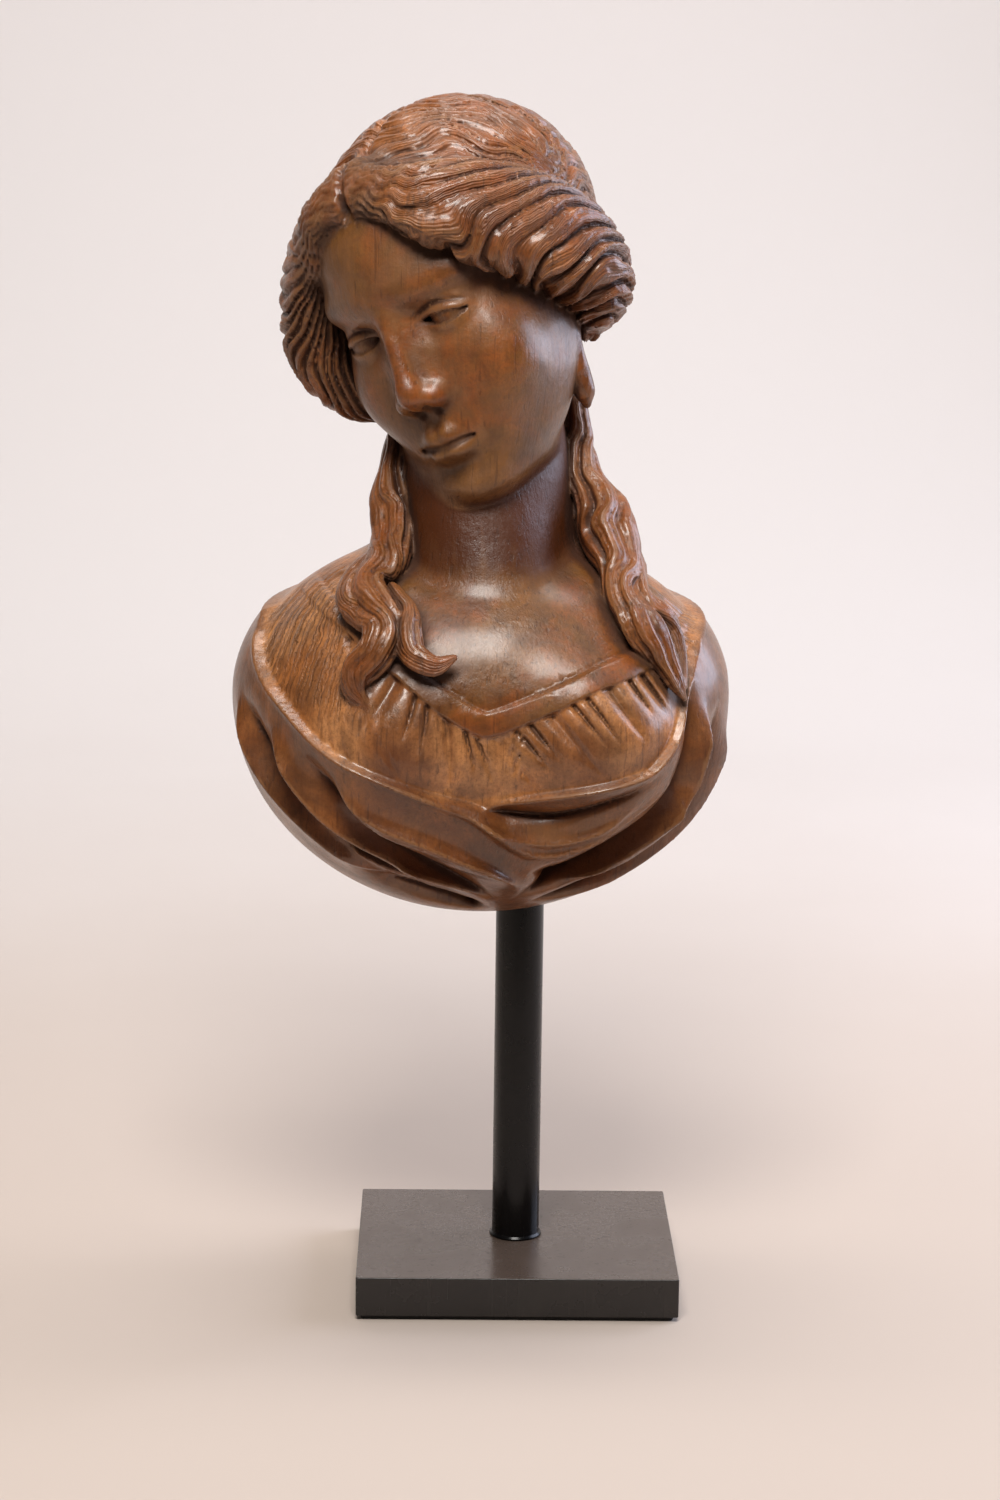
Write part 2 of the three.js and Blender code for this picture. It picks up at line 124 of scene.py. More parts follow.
def smoothTable(table, x):
    # a smooth curve through the rows of a table, looked up by the first column
    rows = np.array(table, float)
    at, values = rows[:, 0], rows[:, 1:]
    slopes = np.gradient(values, at, axis=0)
    i = np.clip(np.searchsorted(at, x) - 1, 0, len(at) - 2)
    span = (at[i + 1] - at[i])[:, None]
    t = np.clip((x - at[i])[:, None] / span, 0, 1)
    start, end = 1 - 3 * t**2 + 2 * t**3, 3 * t**2 - 2 * t**3
    return (start * values[i] + end * values[i + 1]
            + (t - 2 * t**2 + t**3) * span * slopes[i] + (t**3 - t**2) * span * slopes[i + 1])

def smoothPath(stops, steps):
    # a curve through the stops, split evenly between each pair
    p = np.array(stops, float)
    p = np.vstack([2 * p[0] - p[1], p, 2 * p[-1] - p[-2]])
    t = (np.arange(steps) / steps)[:, None]
    pieces = [0.5 * (2 * b + (c - a) * t + (2 * a - 5 * b + 4 * c - d) * t**2
                     + (3 * b - a - 3 * c + d) * t**3)
              for a, b, c, d in zip(p, p[1:], p[2:], p[3:])]
    return np.vstack(pieces + [p[-2:-1]])

def nearestOn(p, path):
    # for every point: how far it is from the path and where on it (row number with a fraction)
    best = np.full(len(p), 1e12)
    row = np.zeros(len(p))
    for i, (a, b) in enumerate(zip(path, path[1:])):
        span = b - a
        t = np.clip((p - a) @ span / (span @ span + 1e-12), 0, 1)
        d = ((p - a - t[:, None] * span) ** 2).sum(1)
        closer = d < best
        best[closer] = d[closer]
        row[closer] = i + t[closer]
    return np.sqrt(best), row

def between(rows, row):
    i = np.minimum(row.astype(int), len(rows) - 2)
    f = row - i
    if rows.ndim > 1:
        f = f[:, None]
    return rows[i] * (1 - f) + rows[i + 1] * f

def lengthsAlong(path):
    return np.concatenate([[0], np.cumsum(lengthOf(np.diff(path, axis=0)))])

def strands(phase):
    # rounded strands side by side: 1 on top, 0 in the cut between two
    return 1 - np.abs(2 * (phase - np.floor(phase)) - 1) ** 2.6

def uneven(a, b, seed):
    # slow unevenness of handwork, between -1 and 1
    return (np.sin(1.7 * a + 2.3 * b + seed) + np.sin(2.9 * a - 1.3 * b + 2.1 * seed)
            + np.sin(0.8 * a + 3.7 * b + 0.7 * seed)) / 3

def boxed(form, low, high, margin=22):
    # looks a form up only near its box; farther out the distance to the box will do
    low, high = np.array(low) - margin, np.array(high) + margin
    def inBox(p):
        far = lengthOf(np.maximum(np.maximum(low - p, p - high), 0))
        values = far + margin
        near = np.flatnonzero(far == 0)
        if len(near):
            values[near] = form(p[near])
        return values
    return inBox

def sweep(stops, outward, phase=None, relief=None, flat=lambda along: 1.0, steps=5):
    # a round body drawn along a path; each stop is x, y, z, radius; phase counts the strands across it
    path = smoothPath(stops, steps)
    centres, radii = path[:, :3], path[:, 3]
    tangents = unit(np.gradient(centres, axis=0))
    sides = unit(np.cross(tangents, outward(centres)))
    outs = np.cross(sides, tangents)
    lengths = lengthsAlong(centres)
    def measured(p):
        row = nearestOn(p, centres)[1]
        q = p - between(centres, row)
        place = between(lengths, row)
        squeeze = flat(place / lengths[-1])
        across = (q * between(sides, row)).sum(1)
        out = (q * between(outs, row)).sum(1) / squeeze
        ahead = (q * between(tangents, row)).sum(1)
        distance = np.sqrt(across**2 + out**2 + ahead**2)
        return distance, np.arctan2(across, out), place, between(radii, row), squeeze
    def form(p):
        near, angle, place, radius, squeeze = measured(p)
        swell = relief(phase(angle, place), angle, place, radius) if phase else 0
        return (near - radius - swell) * np.minimum(squeeze, 1)
    reach = radii.max() * 1.2
    whole = boxed(form, centres.min(0) - reach, centres.max(0) + reach)
    whole.phase = lambda p: phase(*measured(p)[1:3]) if phase else np.zeros(len(p))
    return whole

# head: its own frame has +x to the figure's left, -y forward, z = 0 at the eyes
def headAxes():
    p, t, l = np.radians([carving["headPitch"], carving["headTurn"], carving["headLean"]])
    pitch = np.array([[1, 0, 0], [0, np.cos(p), -np.sin(p)], [0, np.sin(p), np.cos(p)]])
    turn = np.array([[np.cos(t), -np.sin(t), 0], [np.sin(t), np.cos(t), 0], [0, 0, 1]])
    lean = np.array([[np.cos(l), 0, -np.sin(l)], [0, 1, 0], [np.sin(l), 0, np.cos(l)]])
    return lean @ turn @ pitch

headTurned = headAxes()

def mirrored(p):
    return np.stack([np.abs(p[:, 0]), p[:, 1], p[:, 2]], 1)

def angleFrom(axis, q):
    return np.arccos(np.clip(q @ axis / (lengthOf(q) + 1e-9), -1, 1))

def toHead(p):
    return (p - vec(*carving["headOrigin"])) @ headTurned

# oval of the face from under the chin up: height, half width, front, widest place
faceOval = [
    (-117, 14, 72, 50), (-112, 24, 84, 46), (-102, 34, 90, 40), (-87, 46, 88, 30), (-70, 55, 90, 20),
    (-50, 62, 89, 10), (-25, 66, 88, 5), (0, 67, 90, 5), (22, 68, 94, 5), (45, 66, 92, 5),
    (68, 57, 81, 5), (85, 40, 58, 5), (96, 12, 24, 5)]

def ovalForm(p):
    height = np.clip(p[:, 2], faceOval[0][0], faceOval[-1][0])
    width, front, widest = smoothTable(faceOval, height).T
    deep = np.where(p[:, 1] < -widest, front - widest, 34)
    near = ((np.abs(p[:, 0]) / width) ** 2.15 + (np.abs(p[:, 1] + widest) / deep) ** 2.15) ** (1 / 2.15)
    return (near - 1) * np.minimum(width, front - widest) + 3 * np.abs(p[:, 2] - height)

def eyeForm(form, p):
    # a ball between two lids that follow it, the upper one with a crease above it
    q = p - vec(31, -71, -3)
    near = lengthOf(q)
    side = q[:, 0] / 15.0
    arch = np.maximum(1 - np.abs(side) ** 2.0, 0)
    height = q[:, 2] + 1.0 * side
    slit = np.maximum(np.maximum(height - 3.3 * arch, -height - 4.4 * arch), q[:, 1] + 3)
    form = join(form, near - 15.2, 4)
    form = carve(form, np.maximum(slit, 12.6 - near), 0.8)
    form = join(form, near - 13.4, 0.5)
    lidLine = bell(height - 9.0 * (1 - (q[:, 0] / 22) ** 2), 1.3) * ramp(-q[:, 1], 2, 7)
    return form + 1.6 * lidLine * ramp(19 - np.abs(q[:, 0]), 0, 6)

# features of the face: how and what is added, its sizes, how softly
faceParts = [
    (join, egg, (0, -70, -68), (34, 18, 26), 18),  # round the mouth
    (join, egg, (0, -73, -101), (17, 17, 13), 16),  # chin
    (join, egg, (36, -60, -36), (24, 21, 25), 26),  # cheek
    (join, limb, (10, -86, 21), (44, -74, 20), 5, 4, 14),  # brow
    (carve, egg, (30, -98, -3), (20, 15, 11.5), 10),  # eye socket
    (carve, egg, (15, -99, -3), (6, 12, 9), 9),
    (join, limb, (0, -87.5, 26), (0, -103, -32), 4.4, 5.8, 8),  # nose
    (join, limb, (4, -82, 4), (7.5, -88, -37), 6, 8, 12),
    (join, ball, (0, -102.5, -38), 7.4, 8),
    (join, egg, (10.5, -93.5, -42.5), (7, 10, 7.4), 5),
    (join, limb, (0, -91, -49), (0, -101, -44), 3.4, 3.6, 4),
    (carve, limb, (6.2, -93, -52), (4.8, -100.5, -48), 2.5, 2.1, 2),
    (carve, limb, (0, -96.5, -53), (0, -96, -62), 1.2, 2.2, 6),
    (join, limb, (20, -82.5, -72), (5, -92.2, -67.8), 1.8, 5.6, 5),  # lips
    (join, limb, (5, -92.2, -67.8), (0, -92.2, -69), 5.6, 5.2, 4),
    (join, limb, (17, -83.5, -75.5), (5, -90.2, -79.4), 2.6, 7.2, 5),
    (join, limb, (5, -90.2, -79.4), (0, -90.6, -79.6), 7.2, 7.2, 5),
    (carve, limb, (21, -87.0, -73.4), (8, -97.2, -73.6), 0.7, 1.0, 3),
    (carve, limb, (8, -97.2, -73.6), (0, -98.2, -74.6), 1.0, 1.0, 3),
    (carve, limb, (9, -96, -90), (0, -97.5, -90), 3, 4, 12),
]

def faceForm(point):
    # both halves are the same: eyes half-way down, brow, nose and chin in equal thirds
    p = mirrored(point)
    form = join(egg(p, (0, 8, 24), (72, 93, 76)), ovalForm(p), 12)
    for blend, shape, *sizes, soft in faceParts:
        form = blend(form, shape(p, *sizes), soft)
    return eyeForm(form, p)

def crownAngles(p):
    # round and along an axis through a point above and behind each ear
    q = mirrored(p)
    axis = unit(vec(0.93, 0.22, 0.26))
    ahead = unit(vec(0, -1, 0) + axis[1] * axis)
    up = np.cross(ahead, axis)
    return np.arctan2(q @ up, q @ ahead), angleFrom(axis, q)

def knotAngles(p):
    # the same round an axis through the knot, level with the others where the two meet
    q = mirrored(p)
    axis, up = unit(vec(0, 0.96, -0.27)), unit(vec(0, 0.27, 0.96))
    return 2.0 - np.arctan2(q[:, 0], q @ up), angleFrom(axis, q)

def combedAngles(p):
    # from the parting down over the sides, and behind the ears back into the knot
    around, along = crownAngles(p)
    knotAround, knotAlong = knotAngles(p)
    behind = ramp(p[:, 1] + 15 - 35 * ramp(p[:, 2], 10, 60), 0, 30)
    return around + behind * (knotAround - around), along + behind * (knotAlong - along)

def capForm(p):
    x, y, z = p.T
    browLine = 72 - 0.012 * x * x
    temple = -34 + 0.8 * np.maximum(20 - z, 0)
    covered = np.maximum(ramp(z + 0.35 * y, browLine - 42, browLine - 32), ramp(y - temple, 0, 12))
    wave, around, along = crownStrands(p)
    depth = carving["strandDepth"] * ramp(along, 0.12, 0.5)
    bundles = strands(25 * wave + 0.35 * uneven(1.5 * along, 2 * around, 7)) - 0.7
    coarse = strands(57 * wave + 0.5 * uneven(2 * along, 3 * around, 4)) - 0.7
    fine = strands(carving["crownFine"] * wave + 0.9 * uneven(3 * along, 5 * around, 2)) - 0.7
    relief = depth * (0.75 * bundles + 1.35 * coarse) + 0.8 * carving["fineStrandDepth"] * fine
    return egg(p, (0, 9, 25), (80.5, 98.5, 82.5)) + 16 * (1 - covered) - relief

def crownStrands(p):
    # turns round the head's ear-to-ear line, waved like the strands
    around, along = combedAngles(p)
    side = np.sign(p[:, 0])
    wave = (around + 0.050 * np.sin(7.5 * along + 3 * around + side)
            + 0.030 * np.sin(17 * along + 4 * np.sin(2.5 * around))
            + 0.035 * uneven(3.5 * around, 4 * along, 1.0 + side))
    return wave / fullTurn, around, along

def headOutward(c):
    return c - vec(0, 5, 15)

def facing(*direction):
    return lambda c: np.broadcast_to(vec(*direction), c.shape)

def rollFlat(along):
    return 0.55 + 0.45 * ramp(along, 0.35, 0.8)

def rollPhase(sag, lead, slant, start, period):
    # near the parting the strands follow the roll, farther down they cross it in curves
    def phase(angle, place):
        wave = 2.2 * np.sin(2.4 * angle + place / 8) + 1.4 * np.sin(4.1 * angle - place / 13 + 1)
        ripple = 0.16 * np.sin(place / 2.6 + 1.3 * angle) * ramp(62 - place, 0, 30)
        dense = slant * (1 + 1.5 * ramp(62 - place, 0, 50))
        place = place - sag * (angle - lead) ** 2 + wave
        late = np.maximum(place - start, 0)
        crossing = np.where(late < 60, late**2 / 120, late - 30) / period
        along = dense * (angle + ripple + 0.06 * np.sin(place / 6))
        return along + crossing + 0.16 * uneven(angle, place / 12, 2.0)
    return phase

def rollRelief(phase, angle, place, radius):
    size = np.clip(radius / 17, 0.6, 1.3)
    bundles = strands(phase) - 0.6
    coarse = strands(2.4 * phase + 0.3 * uneven(angle, place / 9, 5)) - 0.65
    fine = strands(carving["rollFine"] * phase + 0.5 * uneven(2 * angle, place / 6, 8)) - 0.65
    cut = carving["strandDepth"] * (2.5 * bundles + 0.75 * coarse)
    return size * (cut + 0.8 * carving["fineStrandDepth"] * fine)

leftRoll = sweep([
    (3, -68, 85, 6), (25, -76, 77, 13), (48, -73, 61, 22), (67, -57, 42, 29), (78, -33, 21, 31),
    (79, -8, -3, 29), (74, 10, -28, 24), (62, 15, -47, 17), (54, 14, -58, 6)],
    headOutward, rollPhase(15, 0.35, 1.0, 22, 16), rollRelief, rollFlat)
rightRoll = sweep([
    (-4, -68, 85, 6), (-27, -73, 77, 10), (-49, -66, 61, 15), (-67, -58, 44, 20), (-79, -52, 24, 22),
    (-84, -50, 2, 22), (-80, -48, -22, 20), (-74, -46, -40, 15), (-67, -44, -53, 6)],
    headOutward, rollPhase(-9, 0.1, -1.1, 6, 13), rollRelief, rollFlat)

def twistPhase(flutes, twist):
    def phase(angle, place):
        turned = flutes * angle / fullTurn + place / twist
        return turned + 0.14 * np.sin(place / 8) + 0.1 * uneven(angle, place / 12, 3.0)
    return phase

def twistRelief(depth):
    def relief(phase, angle, place, radius):
        fine = strands(carving["lockFine"] * phase + 0.3)
        return depth * radius * (strands(phase) - 0.6 + 0.4 * fine - 0.25)
    return relief

knot = sweep([(0, 66, 22, 8), (0, 80, 4, 26), (0, 82, -22, 31), (0, 70, -48, 26), (0, 52, -66, 10)],
             facing(1, 0, 0), twistPhase(14, 60), twistRelief(0.10),
             lambda along: 1.35)
earDrop = sweep([(57, -6, -52, 4), (53, -7, -64, 5), (50, -8, -76, 6.5), (47, -8, -88, 6.5),
                 (45, -8, -95, 3)],
                facing(0, -1, 0))

def hairForm(q):
    soft = 3 + 15 * (1 - ramp(np.abs(q[:, 0]), 35, 75)) * ramp(q[:, 2], 20, 50)
    hair = join(boxed(capForm, (-86, -94, -60), (86, 112, 112))(q), leftRoll(q), soft)
    hair = join(hair, rightRoll(q), soft)
    parting = bell(q[:, 0] - 1.2 * np.sin(q[:, 1] / 9), 2.8)
    parting = parting * ramp(q[:, 2], 15, 50) * ramp(40 - q[:, 1], 0, 30)
    return join(hair, knot(q), 2.5) + 3.6 * parting

# loose locks: from behind the ears over the collar
def neckOutward(c):
    return np.stack([c[:, 0] - torso["centre"][0], c[:, 1], 0.35 * np.maximum(0, 500 - c[:, 2])], 1)

def lock(stops, flutes, twist):
    return sweep(stops, neckOutward, twistPhase(flutes, twist), twistRelief(0.34), lambda along: 0.8)

locks = [
    lock([(-76, 4, 548, 9), (-79, -8, 522, 12), (-82, -20, 498, 15), (-81, -36, 481, 14), (-86, -52, 468, 14),
          (-95, -66, 458, 12), (-92, -84, 449, 12), (-86, -98, 437, 12), (-89, -106, 425, 11),
          (-99, -107, 413, 10), (-101, -110, 402, 7), (-94, -113, 392, 2)], 5, 150),
    lock([(-86, -42, 474, 6), (-98, -56, 466, 7), (-106, -66, 456, 7), (-106, -78, 447, 7),
          (-97, -91, 440, 6)], 4, 200),
    lock([(-80, -78, 456, 5), (-72, -92, 446, 7), (-71, -103, 435, 8), (-67, -112, 424, 7),
          (-55, -116, 418, 6), (-43, -116, 423, 2)], 4, -200),
    lock([(30, 14, 556, 8), (31, 8, 534, 12), (35, -2, 513, 14), (45, -12, 496, 19), (52, -28, 478, 19),
          (57, -46, 464, 14), (57, -62, 452, 12), (65, -78, 440, 12), (74, -80, 429, 12),
          (82, -81, 417, 8.5), (88, -83, 405, 6), (94, -83, 394, 2)], 5, -150),
    lock([(67, -40, 468, 6), (68, -56, 456, 6), (74, -65, 447, 6.5), (85, -67, 438, 5.5), (92, -71, 420, 4.5),
          (94, -80, 401, 2.5)], 4, 200),
]

# torso and drapery; places on it are degrees from the front towards the figure's left, and height
leftHem = [(-180, 456), (-125, 450), (-85, 433), (-77, 418), (-63, 393), (-50, 377), (-36, 360), (-17, 341),
           (0, 321), (11, 304), (21, 298), (31, 303), (41, 318), (52, 342)]
rightHem = [(180, 456), (125, 450), (91, 434), (72, 423), (59, 398), (51, 370), (43, 353), (33, 346),
            (22, 342), (8, 336), (-3, 333), (-12, 330)]
clothEdge = [(-180, 456), (-125, 450), (-85, 434), (-63, 394), (-36, 361), (-17, 342), (0, 331), (22, 342),
             (43, 354), (51, 370), (59, 398), (72, 423), (91, 436), (125, 450), (180, 456)]

# folds: stops, width, rise (furrows below zero), sharp line down the middle
folds = [
    ([(-78, 390), (-73, 352), (-63, 318), (-48, 284), (-24, 262)], 9, 4.5, 1.0),
    ([(-76, 392), (-66, 350), (-56, 320), (-42, 291), (-16, 266)], 10, -8.5, 2.0),
    ([(-63, 378), (-52, 340), (-42, 311), (-24, 285), (2, 266)], 9, 6, 0.8),
    ([(-50, 366), (-41, 336), (-30, 305), (-10, 281), (12, 263)], 10, -7, 2.0),
    ([(-40, 352), (-31, 325), (-15, 306), (4, 288), (22, 268)], 9, 6, 1.0),
    ([(-54, 287), (-35, 273), (-12, 261), (8, 256)], 8, -7, 1.5),
    ([(-6, 326), (6, 315), (21, 308), (34, 315), (44, 336)], 7, 4, 0.8),
    ([(-2, 331), (10, 328), (23, 327), (34, 335), (48, 352)], 6.5, -5.5, 1.2),
    ([(18, 286), (32, 285), (45, 295), (53, 315), (56, 345)], 8, -6.5, 1.5),
    ([(62, 404), (60, 380), (58, 352), (56, 325), (46, 298), (30, 278), (14, 262)], 8, -7, 2.0),
    ([(66, 392), (64, 355), (62, 326), (52, 294), (34, 269)], 8, 6, 0.8),
    ([(73, 390), (73, 340), (66, 300), (52, 275), (26, 256)], 8, -7, 2.0),
    ([(80, 370), (81, 340), (76, 306), (61, 272), (40, 256)], 9, 3.5, 0.6),
    ([(90, 400), (90, 350), (86, 305), (70, 268)], 10, -6, 1.5),
    ([(-76, 376), (-63, 345), (-54, 314), (-43, 290), (-28, 268)], 4.5, 3.6, 0),
    ([(-50, 300), (-36, 283), (-16, 268)], 4, 2.8, 0),
    ([(-44, 340), (-30, 318), (-12, 300), (10, 284)], 5, 3.2, 0),
    ([(-32, 322), (-18, 299), (2, 287), (24, 273)], 4, 2.8, 0),
    ([(-33, 290), (-18, 281), (2, 266)], 4, 2.4, 0),
    ([(56, 356), (60, 314), (50, 286), (30, 276)], 4, 2.8, 0),
    ([(70, 356), (70, 310), (58, 278)], 4, 2.4, 0),
] + [([(98 + 20 * k, 425), (105 + 20 * k, 375), (109 + 20 * k, 320), (106 + 20 * k, 272)],
      11, 3.5 if k % 2 else -5, 0.8) for k in range(9)]

# curved edge on the right shoulder from which the fine pleats run out
rightBand = [(-72, 458), (-57, 447), (-45, 428), (-33, 402)]

def wrapped(degrees):
    return degrees - 360 * np.round(degrees / 360)

def onCloth(azimuth, height, radius, path, steps=4):
    # distance from a path on the cloth, in mm, and how far along it the nearest place is (0 to 1)
    stops = smoothPath(path, steps)
    best = np.full(len(azimuth), 1e12)
    row = np.zeros(len(azimuth))
    side = np.zeros(len(azimuth))
    perDegree = np.radians(radius)
    for i, (a, b) in enumerate(zip(stops, stops[1:])):
        ax, ay = wrapped(a[0] - azimuth) * perDegree, a[1] - height
        dx, dy = (b[0] - a[0]) * perDegree, b[1] - a[1]
        t = np.clip(-(ax * dx + ay * dy) / (dx * dx + dy * dy + 1e-9), 0, 1)
        d = (ax + t * dx) ** 2 + (ay + t * dy) ** 2
        closer = d < best
        best[closer] = d[closer]
        row[closer] = (i + t)[closer]
        side[closer] = (dx * ay - dy * ax)[closer]
    return np.sqrt(best), row / (len(stops) - 1), np.sign(side)

def bodyForm(p):
    y, z = p[:, 1], p[:, 2]
    depth = np.where(y < 0, torso["front"], torso["back"])
    height = np.where(z > torso["centre"][2], torso["rise"], torso["drop"])
    radii = np.stack([np.full(len(p), torso["halfWidth"]), depth, height], 1)
    form = egg(p, torso["centre"], radii)
    for centre in torso["breasts"]:
        form = join(form, ball(p, centre, torso["breastRadius"]), 26)
    return join(form, limb(p, (-22, -2, 430), (-22, 0, 478), 60, 50), 12 + 24 * ramp(y, -40, 20))

# upper and lower edge of the flat band round the neckline: across, height
bandTop = [(-150, 470), (-100, 437), (-78, 422), (-51, 405), (-32, 393), (-24, 389.5), (-14, 392.5), (7, 401),
           (43, 417), (76, 427), (120, 440)]
bandFoot = [(-150, 455), (-100, 426), (-75, 408), (-51, 389), (-32, 377), (-24, 374.5), (-14, 377), (7, 387),
            (43, 404), (82, 414), (120, 425)]

def edgeOf(table, x):
    rows = np.array(table, float)
    return np.interp(x, rows[:, 0], rows[:, 1])

def roundTorso(p):
    # degrees from the front towards the figure's left, and distance from the torso's upright middle
    across = p[:, 0] - torso["centre"][0]
    return np.degrees(np.arctan2(across, -p[:, 1])), np.hypot(across, p[:, 1])

def torsoRelief(p):
    x, y, z = p.T
    azimuth, radius = roundTorso(p)
    hem = edgeOf(clothEdge, azimuth)
    cloth = ramp(hem - z, -2, 2)
    relief = carving["clothThickness"] * cloth
    for path, width, rise, line in folds:
        d, along, _ = onCloth(azimuth, z, radius, path, 3)
        fade = ramp(along, 0, 0.22) * ramp(1 - along, 0, 0.25) * (1 - 0.35 * ramp(along, 0.5, 1))
        width = width * (1 - 0.55 * ramp(along, 0.5, 1))
        crest = 0.45 * bell(d, width) + 0.85 * np.exp(-d / (0.55 * width)) * ramp(width * 2.5 - d, 0, width)
        relief += 1.15 * cloth * fade * rise * crest
        relief -= cloth * fade * line * 0.5 * bell(d, 1.6) * (rise < 0)
    # the left cloth lies over the right one; both have a thin rolled hem
    d, _, side = onCloth(azimuth, z, radius, leftHem[1:])
    over = ramp(azimuth, -30, -12) * ramp(6 - azimuth, 0, 12)
    relief += 3.0 * over * cloth * ramp(side * d, -1.2, 1.2) * bell(d, 15)
    relief += 1.5 * bell(d, 2.4) * ramp(60 - azimuth, 0, 20)
    lip = ramp(azimuth, -14, 4) * ramp(46 - azimuth, 0, 14)
    relief += 6.5 * lip * ramp(-side * d, -0.9, 0.9) * bell(d, 5.5)
    relief -= 2.5 * lip * ramp(side * d, 0, 2) * bell(d, 5)
    d = onCloth(azimuth, z, radius, rightHem)[0]
    relief += 1.6 * bell(d, 2.4) * ramp(azimuth, -6, 6)
    # neckline: the skin lies lower than the band, the shift below it is gathered
    front = ramp(-y, 0, 25)
    top, foot = edgeOf(bandTop, x), edgeOf(bandFoot, x)
    relief -= front * 1.4 * ramp(z - top, -0.9, 0.9)
    relief -= front * 1.0 * bell(z - top - 1, 1.2)
    shift = (1 - cloth) * front
    relief -= shift * 1.7 * ramp(foot - z, -0.9, 0.9) * bell(z - foot, 30)
    return relief, azimuth, radius, shift

def gatherRelief(p, shift):
    # wedge-shaped cuts below the band: a fan over the right breast, slanting ones over the left
    x = p[:, 0]
    below = edgeOf(bandFoot, x) - p[:, 2]
    over = ramp(x, -14, -2)
    spread = (x + 62) / (1 + np.maximum(below, 0) / 55) + 0.12 * below
    slanted = x - 30 - 0.62 * below
    phase = spread / 9.5 * (1 - over) + slanted / 11 * over
    phase = phase + 0.22 * np.sin(2.1 * phase)
    number = np.floor(phase)
    length = 37 + 11 * np.sin(2.4 * number) + 6 * np.sin(5.1 * number)
    u = 2 * (phase - number) - 1
    left = np.clip(1 - below / length, 0, 1)
    cut = bell(u, 0.08 + 0.30 * left) * ramp(below, -1, 2.5) * np.sqrt(left)
    inRange = ramp(x, -112, -98) * (1 - ramp(x, 76, 90)) * (1 - 0.8 * bell(x + 16, 9))
    swell = ramp(below, 0, 6) * ramp(40 - below, 0, 28)
    return shift * inRange * (-3.0 * cut + 1.1 * swell * (strands(phase + 0.5) - 0.5))

def pleatPlace(turn, height, radius):
    # where the fine pleats of the shoulders lie, and how many of them lie between here and the front
    d, _, side = onCloth(turn, height, radius, rightBand, 4)
    right = ramp(side * d, 0, 3) * ramp(turn, -118, -95)
    outside = np.where(turn < 0, right, ramp(turn, 58, 66) * ramp(112 - turn, 0, 15))
    return outside, (turn + 0.12 * (height - 440) + 1.5 * np.sin(height / 14)) / 3.6, d

def pleatRelief(height, azimuth, radius, shift):
    relief = np.zeros(len(height))
    zone = np.flatnonzero((np.abs(azimuth) > 22) & (np.abs(azimuth) < 130) & (shift > 0.01) & (height > 350))
    if len(zone):
        turn = azimuth[zone]
        outside, phase, d = pleatPlace(turn, height[zone], radius[zone])
        strength = 0.6 + 0.4 * np.sin(1.7 * np.round(phase) + height[zone] / 16)
        relief[zone] = outside * carving["pleatDepth"] * strength * (strands(phase) - 0.7)
        relief[zone] -= 1.1 * bell(d, 1.6) * (turn < 0)
    return shift * relief

def torsoForm(p):
    form = bodyForm(p)
    near = np.flatnonzero(np.abs(form) < 26)
    if len(near):
        q = p[near]
        relief, azimuth, radius, shift = torsoRelief(q)
        form[near] -= relief + gatherRelief(q, shift) + pleatRelief(q[:, 2], azimuth, radius, shift)
    return form

neck = sweep([(-23, -2, 440, 46), (-22, -1, 478, 52), (-22, 0, 500, 51), (-26, 2, 530, 51), (-32, 6, 566, 50),
              (-36, 8, 600, 46), (-40, 8, 640, 34)], facing(0, -1, 0))

def neckForm(p):
    throat = limb(p, (-24, -28, 446), (-30, -14, 512), 50, 44)
    return join(neck(p), throat, 10)

def skinForm(p):
    head = boxed(faceForm, (-72, -116, -122), (72, 100, 100))(toHead(p))
    return join(head, boxed(neckForm, (-80, -90, 380), (34, 60, 680))(p), 9)

def allHair(p):
    q = toHead(p)
    hair = hairForm(q)
    for strand in locks:
        hair = join(hair, strand(p), 1.5)
    return np.minimum(hair, earDrop(q))

def strandCount(p):
    # how many fine strands lie between here and the start of the part of the hair that is nearest
    q = toHead(p)
    parts = [(capForm(q), carving["crownFine"] * crownStrands(q)[0])]
    parts += [(part(q), carving["rollFine"] * part.phase(q)) for part in (leftRoll, rightRoll)]
    twisted = [(knot, q)] + [(part, p) for part in locks]
    parts += [(part(at), carving["lockFine"] * part.phase(at)) for part, at in twisted]
    away, counts = np.stack([a for a, _ in parts]), np.stack([c for _, c in parts])
    return np.take_along_axis(counts, away.argmin(0)[None], 0)[0]

def bustForm(p):
    form = boxed(torsoForm, (-185, -130, 240), (135, 110, 500))(p)
    form = join(form, skinForm(p), 6)
    form = join(form, allHair(p), 1.2)
    hole = np.maximum(np.hypot(p[:, 0], p[:, 1]) - torso["socketRadius"], p[:, 2] - torso["socketTop"])
    return np.maximum(form, -hole)

# from form to mesh
def gridPoints(low, shape, step, index):
    return low + np.stack(np.unravel_index(index, shape), 1) * step

def doubled(values):
    for axis in range(3):
        count = values.shape[axis]
        first, second = np.take(values, range(count - 1), axis), np.take(values, range(1, count), axis)
        shape = list(values.shape)
        shape[axis] = 2 * count - 1
        finer = np.empty(shape, np.float32)
        even, odd = [slice(None)] * 3, [slice(None)] * 3
        even[axis], odd[axis] = slice(0, None, 2), slice(1, None, 2)
        finer[tuple(even)] = values
        finer[tuple(odd)] = (first + second) / 2
        values = finer
    return values

